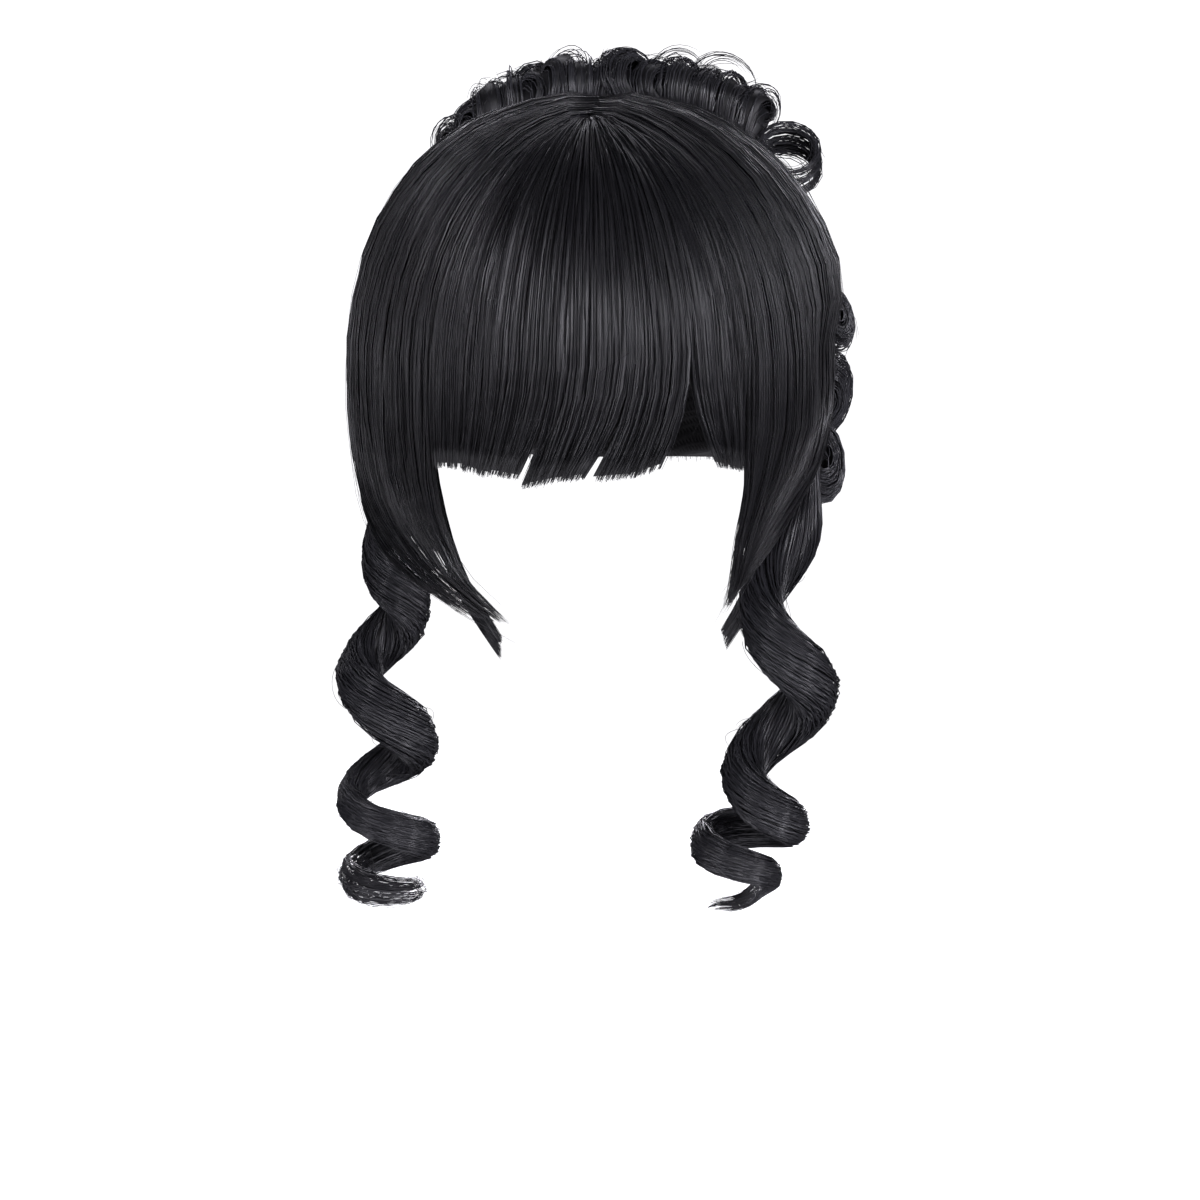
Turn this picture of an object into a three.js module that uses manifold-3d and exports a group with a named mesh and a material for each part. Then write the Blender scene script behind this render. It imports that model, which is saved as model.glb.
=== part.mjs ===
// A styled costume wig in black fibre: a stretch cap with a fringe, two crown halves, side locks,
// nape locks, hanging ringlets and rows of rolled curls over the back.
// Millimetres, +Z up. The face side is -Y and the wearer's left is +X.
// The origin is the inside top of the cap, where the crown of the head bears.
import * as THREE from "three";
import { mergeVertices } from "three/addons/utils/BufferGeometryUtils.js";
import Module from "manifold-3d";

// Clearance between pieces that touch on the real wig
const GAP = 0.35;
// The same between two domes, whose facets sag towards each other
const DOME_GAP = 1;

// The widest level of the head, below the inside top of the cap
const EQUATOR_Z = -100;
// An exponent above 2 makes the domes fuller than an ellipsoid
const DOME_FULLNESS = 2.2;
// Share of the width that hanging hair loses per square millimetre of drop below the equator
const HANG_TAPER = 1.6e-5;

// Half width, half depth and rise above the equator of the domes, from the inside out
const CAP_INSIDE = { width: 77, depth: 96, rise: 100 };
const CAP_WALL = 1.5;
const BACK_SURFACE = { width: 95, depth: 104, rise: 112 };
const HAIR_SURFACE = { width: 102, depth: 110, rise: 109 };
const SIDE_THICKNESS = 10;
const SIDE_END_THICKNESS = 4;
const BANGS_THICKNESS = 7.5;

// Level of the cap's rim at the forehead, over the ears and at the nape
const CAP_RIM = { front: -60, side: -112, nape: -150 };

// The parting, as shares of the half depth from its front end to its back end
const PART = { front: -0.335, back: 0.37, halfWidth: 0.004 };

// Angles are measured from straight ahead, in degrees, positive towards the wearer's left
const CROWN_BACK_ANGLE = 112;
const BANGS_RIGHT_ANGLE = -34;
const BANGS_LEFT_ANGLE = 40.5;
const SEAM_ANGLE = 0.35;
// Where the hair at the back starts behind the crown halves
const BACK_SEAM = 0.05;
const BACK_SEAM_ANGLE = 3;

// Lower edge of the fringe, with a slit, a nick and one open notch
const BANGS_EDGE = [
  { angle: BANGS_RIGHT_ANGLE, z: -132 },
  { angle: -27, z: -131 },
  { angle: -21, z: -132 },
  { angle: -15, z: -134 },
  { angle: -11.5, z: -137 },
  { angle: -9.5, z: -128 },
  { angle: -7, z: -134 },
  { angle: -2.5, z: -134 },
  { angle: 4.5, z: -133 },
  { angle: 6.5, z: -129 },
  { angle: 9, z: -132 },
  { angle: 17.5, z: -131 },
  { angle: 21, z: -126 },
  { angle: 26, z: -105 },
  { angle: 30, z: -117 },
  { angle: 34, z: -130 },
  { angle: BANGS_LEFT_ANGLE, z: -132 },
];

// Lower edge of a crown half, from its front edge back
const SIDE_EDGE = [
  { share: 0, z: -132 },
  { share: 0.2, z: -148 },
  { share: 0.6, z: -154 },
  { share: 1, z: -150 },
];
const SIDE_LOCKS = 4;
const SIDE_LOCK_RELIEF = 2.2;

// Lower edge of the smooth hair at the back
const BACK_EDGE = { side: -146, nape: -158 };

// Side locks, in levels from under the crown half to the tip. The front and back edges have
// their own angles and heights, and reach is a share of the hair surface.
const SIDELOCK_THICKNESS = 5;
const SIDELOCKS = {
  right: [
    { front: 43, frontZ: -92, back: 92, backZ: -92, reach: 0.893 },
    { front: 40, frontZ: -133, back: 93, backZ: -133, reach: 0.913 },
    { front: 36, frontZ: -152, back: 88, backZ: -157, reach: 0.902 },
    { front: 34, frontZ: -166, back: 72, backZ: -172, reach: 0.9 },
    { front: 30, frontZ: -178, back: 52, backZ: -184, reach: 0.88 },
    { front: 21, frontZ: -186, back: 30, backZ: -191, reach: 0.84 },
  ],
  left: [
    { front: 47, frontZ: -92, back: 92, backZ: -92, reach: 0.893 },
    { front: 45, frontZ: -133, back: 93, backZ: -133, reach: 0.913 },
    { front: 44, frontZ: -152, back: 88, backZ: -157, reach: 0.902 },
    { front: 44, frontZ: -168, back: 76, backZ: -172, reach: 0.9 },
    { front: 44, frontZ: -180, back: 64, backZ: -184, reach: 0.88 },
    { front: 45, frontZ: -190, back: 52, backZ: -193, reach: 0.84 },
  ],
};

// Nape locks, from the cap's side down beside the neck, on the wearer's left
const NAPE_LOCK = { width: 15, tipWidth: 7, thickness: 3 };
const NAPE_LOCK_PATH = [
  { x: 76.9, y: 31, z: -92 },
  { x: 76.9, y: 31, z: -112 },
  { x: 72, y: 30, z: -160 },
  { x: 62, y: 28, z: -194 },
  { x: 46.5, y: 32, z: -222 },
];

// Ringlets: a thick lock wound round an axis. The turn is in degrees round +Z from the wearer's
// left and grows on the way down. The radius is that of the winding, to the middle of the lock.
const RINGLETS = {
  right: [
    { turn: 168, z: -100, axisX: -73.3, axisY: 20, radius: 13.5, width: 20, thickness: 5 },
    { turn: 168, z: -146, axisX: -74, axisY: 15, radius: 12.5, width: 22, thickness: 6 },
    { turn: 200, z: -176, axisX: -82, axisY: 4, radius: 10, width: 24, thickness: 15 },
    { turn: 360, z: -200, axisX: -86.5, axisY: -6, radius: 8, width: 24, thickness: 19 },
    { turn: 540, z: -227, axisX: -88, axisY: -9, radius: 10.5, width: 23, thickness: 20 },
    { turn: 720, z: -255, axisX: -86.5, axisY: -11, radius: 12, width: 24, thickness: 19 },
    { turn: 900, z: -279, axisX: -89, axisY: -12, radius: 13.5, width: 15, thickness: 12 },
    { turn: 1080, z: -296, axisX: -85.5, axisY: -13, radius: 14.5, width: 17, thickness: 14 },
    { turn: 1260, z: -311, axisX: -88, axisY: -14, radius: 14, width: 14, thickness: 10 },
    { turn: 1420, z: -321, axisX: -82, axisY: -14, radius: 13, width: 7, thickness: 5 },
  ],
  left: [
    { turn: 12, z: -100, axisX: 73.4, axisY: 20, radius: 13.5, width: 20, thickness: 5 },
    { turn: 12, z: -146, axisX: 73, axisY: 15, radius: 12.5, width: 22, thickness: 6 },
    { turn: 60, z: -170, axisX: 75, axisY: 2, radius: 9, width: 24, thickness: 15 },
    { turn: 180, z: -196, axisX: 75.5, axisY: -6, radius: 9, width: 24, thickness: 19 },
    { turn: 360, z: -231, axisX: 76, axisY: -9, radius: 12.5, width: 26, thickness: 22 },
    { turn: 540, z: -265, axisX: 71.5, axisY: -11, radius: 11.5, width: 23, thickness: 19 },
    { turn: 720, z: -287, axisX: 68, axisY: -12, radius: 13, width: 19, thickness: 14 },
    { turn: 900, z: -295, axisX: 59.5, axisY: -13, radius: 15.5, width: 14, thickness: 11 },
    { turn: 1080, z: -312, axisX: 58, axisY: -14, radius: 13, width: 12, thickness: 9 },
    { turn: 1200, z: -323, axisX: 62, axisY: -14, radius: 8, width: 5, thickness: 4 },
  ],
};

// Rows of curls. Each is an arch over the back of the head, at a polar angle from straight
// behind, with two legs down to the nape, and the last is a column down the middle.
const CURL_WIDTH = 27;
const CURL_END_WIDTH = 18;
const CURL_THICKNESS = 3;
const CURL_SWEEP_DEGREES = 385;
const CURL_END_SHARE = 0.5;
const CURL_DRIFT = 3;
const CURL_LEAN_DEGREES = 9;
const CURL_UNEVENNESS = 0.1;
const WEFT_STRIP = { width: 10, thickness: 2 };
const CURL_WEFTS = [
  { polar: 57, curls: 18, radius: 11.5, crestRadius: 13, legDrop: 52 },
  { polar: 41, curls: 13, radius: 12.5, crestRadius: 13, legDrop: 50 },
  { polar: 25, curls: 9, radius: 12.5, crestRadius: 12.5, legDrop: 48 },
  { columnRise: 34, curls: 4, radius: 12, crestRadius: 12.5, legDrop: 58 },
];

const FIBRE = { color: 0x17171a, roughness: 0.42, metalness: 0 };
const CAP_NET = { color: 0x1d1c1e, roughness: 0.85, metalness: 0 };

const wasm = await Module();
wasm.setup();

const radians = THREE.MathUtils.degToRad;
const mix = THREE.MathUtils.lerp;

function grown(layer, amount) {
  return { width: layer.width + amount, depth: layer.depth + amount, rise: layer.rise + amount };
}

const CAP_OUTSIDE = grown(CAP_INSIDE, CAP_WALL);
const ON_CAP = grown(CAP_OUTSIDE, DOME_GAP);

// A point on a dome. p and q are shares of the half width and half depth, and below the
// equator the wall hangs down by the drop.
function dome(layer, p, q, drop = 0) {
  const spread = Math.min(Math.hypot(p, q), 1);
  const rise = Math.max(1 - spread ** DOME_FULLNESS, 0) ** (1 / DOME_FULLNESS);
  const draw = 1 - HANG_TAPER * drop ** 2;
  return new THREE.Vector3(
    layer.width * p * draw,
    layer.depth * q * draw,
    EQUATOR_Z + layer.rise * rise - drop,
  );
}

// Outward direction of a dome at one of its points
function outward(layer, point) {
  const [p, q] = [point.x / layer.width, point.y / layer.depth];
  const height = Math.max(point.z - EQUATOR_Z, 0) / layer.rise;
  const spread = Math.hypot(p, q) ** (DOME_FULLNESS - 2);
  return new THREE.Vector3(
    (spread * p) / layer.width,
    (spread * q) / layer.depth,
    height ** (DOME_FULLNESS - 1) / layer.rise,
  ).normalize();
}

// The value of a column between the rows of a table, on a smooth curve through them
function between(rows, key, column, at) {
  const last = rows.length - 2;
  let i = rows.findIndex((row, n) => n <= last && at <= rows[n + 1][key]);
  if (i < 0) i = last;
  const slope = (n) => {
    const before = rows[Math.max(n - 1, 0)];
    const after = rows[Math.min(n + 1, rows.length - 1)];
    return (after[column] - before[column]) / (after[key] - before[key]);
  };
  const span = rows[i + 1][key] - rows[i][key];
  const t = (at - rows[i][key]) / span;
  return (
    (2 * t ** 3 - 3 * t ** 2 + 1) * rows[i][column] +
    (t ** 3 - 2 * t ** 2 + t) * span * slope(i) +
    (3 * t ** 2 - 2 * t ** 3) * rows[i + 1][column] +
    (t ** 3 - t ** 2) * span * slope(i + 1)
  );
}

// A repeatable uneven number from -1 to 1 for each piece of a row
function uneven(row, piece, trait) {
  const wave = Math.sin(row * 12.9898 + piece * 78.233 + trait * 37.719) * 43758.5453;
  return 2 * (wave - Math.floor(wave)) - 1;
}

// Closed geometry from triangles, welded, without empty ones and facing out
function closedGeometry(corners) {
  const loose = new THREE.BufferGeometry().setFromPoints(corners);
  const welded = mergeVertices(loose, 1e-3);
  const index = welded.index.array;
  const position = welded.attributes.position;
  const kept = [];
  let volume = 0;
  const [a, b, c] = [new THREE.Vector3(), new THREE.Vector3(), new THREE.Vector3()];
  for (let i = 0; i < index.length; i += 3) {
    const [i0, i1, i2] = index.slice(i, i + 3);
    if (i0 === i1 || i1 === i2 || i2 === i0) continue;
    kept.push([i0, i1, i2]);
    a.fromBufferAttribute(position, i0);
    b.fromBufferAttribute(position, i1);
    c.fromBufferAttribute(position, i2);
    volume += a.dot(b.cross(c));
  }
  const facing = volume < 0 ? kept.map(([i0, i1, i2]) => [i0, i2, i1]) : kept;
  return welded.setIndex(facing.flat());
}

function quad(corners, a, b, c, d) {
  corners.push(a, b, c, a, c, d);
}

// A wall between two grids of points, closed along its edges. A ring joins its last column
// to its first.
function wallGeometry(outer, inner, ring = false) {
  const corners = [];
  const columns = outer.length;
  const rows = outer[0].length;
  const lastColumn = ring ? columns : columns - 1;
  for (let i = 0; i < lastColumn; i++) {
    const next = (i + 1) % columns;
    for (let j = 0; j < rows - 1; j++) {
      quad(corners, outer[i][j], outer[next][j], outer[next][j + 1], outer[i][j + 1]);
      quad(corners, inner[i][j], inner[i][j + 1], inner[next][j + 1], inner[next][j]);
    }
    quad(corners, outer[i][0], inner[i][0], inner[next][0], outer[next][0]);
    const end = rows - 1;
    quad(corners, outer[i][end], outer[next][end], inner[next][end], inner[i][end]);
  }
  if (!ring) {
    const side = columns - 1;
    for (let j = 0; j < rows - 1; j++) {
      quad(corners, outer[0][j], outer[0][j + 1], inner[0][j + 1], inner[0][j]);
      quad(corners, outer[side][j], inner[side][j], inner[side][j + 1], outer[side][j + 1]);
    }
  }
  return closedGeometry(corners);
}

// A lock through a run of closed sections, with flat ends
function lockGeometry(sections) {
  const corners = [];
  const sides = sections[0].length;
  for (let i = 0; i < sections.length - 1; i++) {
    for (let j = 0; j < sides; j++) {
      const next = (j + 1) % sides;
      quad(corners, sections[i][j], sections[i][next], sections[i + 1][next], sections[i + 1][j]);
    }
  }
  const [first, last] = [sections[0], sections.at(-1)];
  for (let j = 1; j < sides - 1; j++) {
    corners.push(first[0], first[j + 1], first[j]);
    corners.push(last[0], last[j], last[j + 1]);
  }
  return closedGeometry(corners);
}

// One section of a lock: an oval with the given width and thickness directions
function ovalSection(centre, widthway, width, thickway, thickness, sides) {
  return Array.from({ length: sides }, (_, i) => {
    const angle = ((i + 0.5) / sides) * 2 * Math.PI;
    return centre
      .clone()
      .addScaledVector(widthway, (Math.cos(angle) * width) / 2)
      .addScaledVector(thickway, (Math.sin(angle) * thickness) / 2);
  });
}

// One section of a strip: a rectangle
function stripSection(centre, widthway, width, thickway, thickness) {
  const signs = [
    [-1, -1],
    [1, -1],
    [1, 1],
    [-1, 1],
  ];
  return signs.map(([across, through]) =>
    centre
      .clone()
      .addScaledVector(widthway, (across * width) / 2)
      .addScaledVector(thickway, (through * thickness) / 2),
  );
}

function solidOf(geometry) {
  return new wasm.Manifold(
    new wasm.Mesh({
      numProp: 3,
      vertProperties: new Float32Array(geometry.attributes.position.array),
      triVerts: new Uint32Array(geometry.index.array),
    }),
  );
}

function geometryOf(solid) {
  const mesh = solid.getMesh();
  const geometry = new THREE.BufferGeometry();
  geometry.setAttribute("position", new THREE.BufferAttribute(mesh.vertProperties, 3));
  return geometry.setIndex(new THREE.BufferAttribute(mesh.triVerts, 1));
}

function piece(name, geometry, look) {
  geometry.computeVertexNormals();
  const mesh = new THREE.Mesh(geometry, new THREE.MeshStandardMaterial(look));
  mesh.name = name;
  return mesh;
}

// A run of evenly spaced shares from 0 to 1
function shares(steps) {
  return Array.from({ length: steps + 1 }, (_, i) => i / steps);
}

// Hair that falls from a root on the crown to the equator at an angle, then hangs to an end
// level. Returns its place on a dome for each share of the way.
const DOME_STEPS = 8;
const HANG_STEPS = 2;
function falling(root, angle, endZ) {
  const foot = { p: Math.sin(radians(angle)), q: -Math.cos(radians(angle)) };
  const places = shares(DOME_STEPS).map((share) => {
    const way = Math.sin((share * Math.PI) / 2);
    return { p: mix(root.p, foot.p, way), q: mix(root.q, foot.q, way), drop: 0 };
  });
  for (const share of shares(HANG_STEPS).slice(1)) {
    places.push({ ...foot, drop: share * (EQUATOR_Z - endZ) });
  }
  return places;
}

function placed(layer, places) {
  return places.map(({ p, q, drop }) => dome(layer, p, q, drop));
}

function wigCap() {
  const COLUMNS = 28;
  const ROWS = 9;
  const { front, side, nape } = CAP_RIM;
  const swing = (front - nape) / 2;
  const lift = (front + nape) / 2 - side;
  const column = (layer, i) => {
    const angle = (i / COLUMNS) * 2 * Math.PI;
    const facing = Math.cos(angle);
    const rimZ = side + swing * facing + lift * facing ** 2;
    const height = Math.max(rimZ - EQUATOR_Z, 0) / layer.rise;
    const spread = (1 - height ** DOME_FULLNESS) ** (1 / DOME_FULLNESS);
    const drop = Math.max(EQUATOR_Z - rimZ, 0);
    const hangShare = drop / (drop + layer.depth);
    return shares(ROWS).map((share) => {
      const domeShare = Math.min(share / (1 - hangShare), 1);
      const way = Math.sin(domeShare * Math.asin(spread));
      const hang = drop > 0 ? Math.max(share - (1 - hangShare), 0) / hangShare : 0;
      return dome(layer, Math.sin(angle) * way, -facing * way, hang * drop);
    });
  };
  const columns = (layer) => Array.from({ length: COLUMNS }, (_, i) => column(layer, i));
  return wallGeometry(columns(CAP_OUTSIDE), columns(CAP_INSIDE), true);
}

function bangs() {
  const ROOT_SHARE = 0.12;
  const inside = {
    width: HAIR_SURFACE.width - BANGS_THICKNESS,
    depth: HAIR_SURFACE.depth - BANGS_THICKNESS,
    rise: ON_CAP.rise,
  };
  const apex = { p: 0, q: PART.front - 2 * PART.halfWidth };
  const [right, left] = [BANGS_EDGE[0].angle, BANGS_EDGE.at(-1).angle];
  const fans = BANGS_EDGE.map(({ angle, z }) => {
    const seam = angle === right ? SEAM_ANGLE : angle === left ? -SEAM_ANGLE : 0;
    const foot = { p: Math.sin(radians(angle + seam)), q: -Math.cos(radians(angle + seam)) };
    const root = { p: mix(apex.p, foot.p, ROOT_SHARE), q: mix(apex.q, foot.q, ROOT_SHARE) };
    return falling(root, angle + seam, z);
  });
  const outer = fans.map((places) => placed(HAIR_SURFACE, places));
  const inner = fans.map((places) => placed(inside, places));
  return wallGeometry(outer, inner);
}

// A crown half. The side is 1 for the wearer's left and -1 for the right.
function sideHair(side) {
  const COLUMNS = 16;
  const inside = {
    width: HAIR_SURFACE.width - SIDE_THICKNESS,
    depth: HAIR_SURFACE.depth - SIDE_THICKNESS,
    rise: ON_CAP.rise,
  };
  const cornerAngle = side > 0 ? BANGS_LEFT_ANGLE : -BANGS_RIGHT_ANGLE;
  const outer = [];
  const inner = [];
  for (const share of shares(COLUMNS)) {
    const root = { p: side * PART.halfWidth, q: mix(PART.front, PART.back, share) };
    const angle = side * mix(cornerAngle + SEAM_ANGLE, CROWN_BACK_ANGLE, share);
    const endZ = between(SIDE_EDGE, "share", "z", share);
    const places = falling(root, angle, endZ);
    const valley = (1 - Math.cos(share * SIDE_LOCKS * 2 * Math.PI)) / 2;
    const relief = places.map((_, j) => (-SIDE_LOCK_RELIEF * valley * j) / (places.length - 1));
    outer.push(places.map(({ p, q, drop }, j) => dome(grown(HAIR_SURFACE, relief[j]), p, q, drop)));
    const thinning = SIDE_THICKNESS - SIDE_END_THICKNESS;
    inner.push(
      places.map(({ p, q, drop }) => {
        const thinned = grown(inside, (thinning * drop) / (EQUATOR_Z - endZ));
        return dome(drop > 0 ? thinned : inside, p, q, drop);
      }),
    );
  }
  return wallGeometry(outer, inner);
}

function backHair() {
  const COLUMNS = 16;
  const apex = { p: 0, q: PART.back + BACK_SEAM };
  const start = CROWN_BACK_ANGLE + BACK_SEAM_ANGLE;
  const outer = [];
  const inner = [];
  for (const share of shares(COLUMNS)) {
    const angle = mix(start, 360 - start, share);
    const endZ = mix(BACK_EDGE.side, BACK_EDGE.nape, Math.sin(share * Math.PI));
    const places = falling(apex, angle, endZ);
    outer.push(placed(BACK_SURFACE, places));
    inner.push(placed(ON_CAP, places));
  }
  return wallGeometry(outer, inner);
}

// A side lock: a sheet that comes out from under the crown half and narrows to its tip
function sidelock(levels, side) {
  const COLUMNS = 6;
  const at = (level, share, inset) => {
    const angle = radians(mix(level.front, level.back, share));
    const z = mix(level.frontZ, level.backZ, share);
    const [width, depth] = [HAIR_SURFACE.width, HAIR_SURFACE.depth].map(
      (half) => half * level.reach - inset,
    );
    return new THREE.Vector3(side * width * Math.sin(angle), -depth * Math.cos(angle), z);
  };
  const sheet = (inset) =>
    shares(COLUMNS).map((share) => levels.map((level) => at(level, share, inset)));
  return wallGeometry(sheet(0), sheet(SIDELOCK_THICKNESS));
}

function napeLock(side) {
  const STEPS = 10;
  const SIDES = 6;
  const path = new THREE.CatmullRomCurve3(
    NAPE_LOCK_PATH.map(({ x, y, z }) => new THREE.Vector3(side * x, y, z)),
  );
  const sections = shares(STEPS).map((share) => {
    const tangent = path.getTangent(share);
    const widthway = new THREE.Vector3(0, 1, 0).addScaledVector(tangent, -tangent.y).normalize();
    const thickway = new THREE.Vector3().crossVectors(tangent, widthway);
    const width = mix(NAPE_LOCK.width, NAPE_LOCK.tipWidth, share);
    return ovalSection(path.getPoint(share), widthway, width, thickway, NAPE_LOCK.thickness, SIDES);
  });
  return lockGeometry(sections);
}

function ringlet(rows) {
  const DEGREES_A_STEP = 32;
  const SIDES = 8;
  const [first, last] = [rows[0].turn, rows.at(-1).turn];
  const steps = Math.ceil((last - first) / DEGREES_A_STEP) + rows.length;
  const table = rows.map((row, i) => ({ ...row, level: i }));
  const value = (column, level) => between(table, "level", column, level);
  const point = (level) => {
    const turn = radians(value("turn", level));
    const radius = value("radius", level);
    return new THREE.Vector3(
      value("axisX", level) + radius * Math.cos(turn),
      value("axisY", level) + radius * Math.sin(turn),
      value("z", level),
    );
  };
  const NUDGE = 0.01;
  const sections = shares(steps).map((share) => {
    const level = share * (rows.length - 1);
    const turn = radians(value("turn", level));
    const thickway = new THREE.Vector3(Math.cos(turn), Math.sin(turn), 0);
    const tangent = point(level + NUDGE).sub(point(level - NUDGE)).normalize();
    const widthway = new THREE.Vector3().crossVectors(thickway, tangent).normalize();
    const [width, thickness] = [value("width", level), value("thickness", level)];
    return ovalSection(point(level), widthway, width, thickway, thickness, SIDES);
  });
  return lockGeometry(sections);
}

// Places along a row of curls, from its right leg over the arch to its left leg, or down its
// column
function weftPlace(weft, share) {
  if (weft.columnRise) {
    const way = mix(-weft.columnRise, weft.legDrop, share);
    const lift = Math.max(-way, 0) / BACK_SURFACE.rise;
    return dome(BACK_SURFACE, 0, Math.cos(lift), Math.max(way, 0));
  }
  const spread = Math.sin(radians(weft.polar));
  const behind = Math.cos(radians(weft.polar));
  const archLength = Math.PI * spread * BACK_SURFACE.rise;
  const way = share * (archLength + 2 * weft.legDrop) - weft.legDrop;
  const swing = (THREE.MathUtils.clamp(way / archLength, 0, 1) - 0.5) * Math.PI;
  const drop = Math.max(-way, way - archLength, 0);
  return dome(BACK_SURFACE, spread * Math.sin(swing), behind, drop);
}

// The directions of a row at one place: along it, out of the head and across it
function weftFrame(weft, share) {
  const NUDGE = 0.004;
  const centre = weftPlace(weft, share);
  const out = outward(BACK_SURFACE, centre);
  const along = weftPlace(weft, share + NUDGE).sub(weftPlace(weft, share - NUDGE));
  along.addScaledVector(out, -along.dot(out)).normalize();
  const across = new THREE.Vector3().crossVectors(out, along);
  return { centre, out, along, across };
}

// A rolled curl: a strip that stands up from the row and winds in on itself
function curl(weft, row, i) {
  const STEPS = 9;
  const share = (i + 0.5) / weft.curls;
  const { centre, out, along } = weftFrame(weft, share);
  const hand = uneven(row, i, 1) > 0 ? 1 : -1;
  const lean = radians(CURL_LEAN_DEGREES * uneven(row, i, 2));
  const sideways = along.clone().multiplyScalar(hand).applyAxisAngle(out, lean);
  const across = new THREE.Vector3().crossVectors(out, sideways);
  const crest = Math.sin(share * Math.PI) ** 2;
  const even = mix(weft.radius, weft.crestRadius, crest);
  const size = even * (1 + CURL_UNEVENNESS * uneven(row, i, 3));
  const axle = centre.clone().addScaledVector(out, GAP + size);
  const sections = shares(STEPS).map((part) => {
    const angle = radians(-90 + part * CURL_SWEEP_DEGREES);
    const radius = (size - CURL_THICKNESS / 2) * mix(1, CURL_END_SHARE, part);
    const spoke = sideways
      .clone()
      .multiplyScalar(Math.cos(angle))
      .addScaledVector(out, Math.sin(angle));
    const middle = axle
      .clone()
      .addScaledVector(spoke, radius)
      .addScaledVector(across, CURL_DRIFT * part);
    const width = mix(CURL_WIDTH, CURL_END_WIDTH, part);
    return stripSection(middle, across, width, spoke, CURL_THICKNESS);
  });
  return lockGeometry(sections);
}

function curlWeft(weft, row) {
  const stations = weft.curls + 4;
  const margin = 0.25 / weft.curls;
  const strip = shares(stations).map((part) => {
    const { centre, out, across } = weftFrame(weft, mix(margin, 1 - margin, part));
    const middle = centre.addScaledVector(out, GAP + WEFT_STRIP.thickness / 2);
    return stripSection(middle, across, WEFT_STRIP.width, out, WEFT_STRIP.thickness);
  });
  let joined = solidOf(lockGeometry(strip));
  for (let i = 0; i < weft.curls; i++) {
    joined = joined.add(solidOf(curl(weft, row, i)));
  }
  return geometryOf(joined);
}

const wig = new THREE.Group();
wig.add(piece("wig_cap", wigCap(), CAP_NET));
wig.add(piece("bangs", bangs(), FIBRE));
wig.add(piece("back_hair", backHair(), FIBRE));
for (const [name, side] of [
  ["right", -1],
  ["left", 1],
]) {
  wig.add(piece(`side_hair_${name}`, sideHair(side), FIBRE));
  wig.add(piece(`sidelock_${name}`, sidelock(SIDELOCKS[name], side), FIBRE));
  wig.add(piece(`nape_lock_${name}`, napeLock(side), FIBRE));
  wig.add(piece(`ringlet_${name}`, ringlet(RINGLETS[name]), FIBRE));
}
CURL_WEFTS.forEach((weft, row) => {
  wig.add(piece(`curl_weft_${row + 1}`, curlWeft(weft, row), FIBRE));
});

export default wig;
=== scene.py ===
import math

import bpy
import numpy as np
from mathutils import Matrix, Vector


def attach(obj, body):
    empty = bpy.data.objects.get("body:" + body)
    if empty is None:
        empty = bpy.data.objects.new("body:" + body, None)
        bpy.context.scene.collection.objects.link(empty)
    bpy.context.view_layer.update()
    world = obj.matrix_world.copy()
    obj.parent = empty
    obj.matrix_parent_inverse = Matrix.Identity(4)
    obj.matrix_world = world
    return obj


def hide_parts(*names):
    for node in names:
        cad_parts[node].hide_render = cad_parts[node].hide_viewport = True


bl_info = {
    "name": "Costume wig",
    "version": (1, 0, 0),
    "blender": (4, 5, 0),
    "location": "View3D > Sidebar > Wig",
    "description": "Dresses a styled costume wig with strands of black fibre",
    "category": "Object",
}

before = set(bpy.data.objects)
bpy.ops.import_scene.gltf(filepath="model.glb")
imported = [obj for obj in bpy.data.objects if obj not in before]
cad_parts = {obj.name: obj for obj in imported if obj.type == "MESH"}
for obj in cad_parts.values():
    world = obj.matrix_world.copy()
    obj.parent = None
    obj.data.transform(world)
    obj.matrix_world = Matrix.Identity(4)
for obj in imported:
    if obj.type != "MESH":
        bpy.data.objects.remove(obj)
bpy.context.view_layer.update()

# Lengths below are in millimetres, and meshes are made in metres
MM = 0.001

# The domes that the hair lies on: half width, half depth and rise above the widest level
EQUATOR_Z = -100.0
DOME_FULLNESS = 2.2
HANG_TAPER = 1.6e-5
CAP_INSIDE = (77.0, 96.0, 100.0)
CAP_WALL = 1.5
CAP_RIM = {"front": -60.0, "side": -112.0, "nape": -150.0}
BACK_SURFACE = (95.0, 104.0, 112.0)
HAIR_SURFACE = (102.0, 110.0, 109.0)

# Length of hair from the parting down to the widest level
CROWN_LENGTH = 150.0

# The parting, as shares of the half depth, and the angles where the crown halves end
PART_FRONT = -0.335
PART_BACK = 0.37
BACK_SEAM = 0.05
CROWN_BACK_ANGLE = 112.0
CORNER_ANGLE = {"right": 34.0, "left": 40.5}
SIDES = {"right": -1, "left": 1}

# Locks of the fringe, from the wearer's right to the left: the angles where a lock leaves the
# crown, the angles where it ends after its sweep, and the levels of its two end corners
FRINGE_LOCKS = (
    ((-34.0, -24.0), (-34.0, -26.5), (-131.5, -131.0)),
    ((-24.0, -14.0), (-26.5, -19.5), (-131.5, -133.5)),
    ((-14.0, -3.9), (-19.5, -12.2), (-132.5, -134.0)),
    ((-3.9, 4.5), (-11.5, -3.5), (-137.5, -134.5)),
    ((4.5, 13.1), (-3.5, 3.3), (-134.5, -133.0)),
    ((13.1, 20.0), (4.9, 13.0), (-134.0, -133.0)),
    ((20.0, 26.6), (13.0, 20.3), (-133.0, -129.5)),
    ((26.6, 40.5), (33.8, 40.5), (-130.0, -132.0)),
)
SWEEP_START_Z = -85.0

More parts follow.
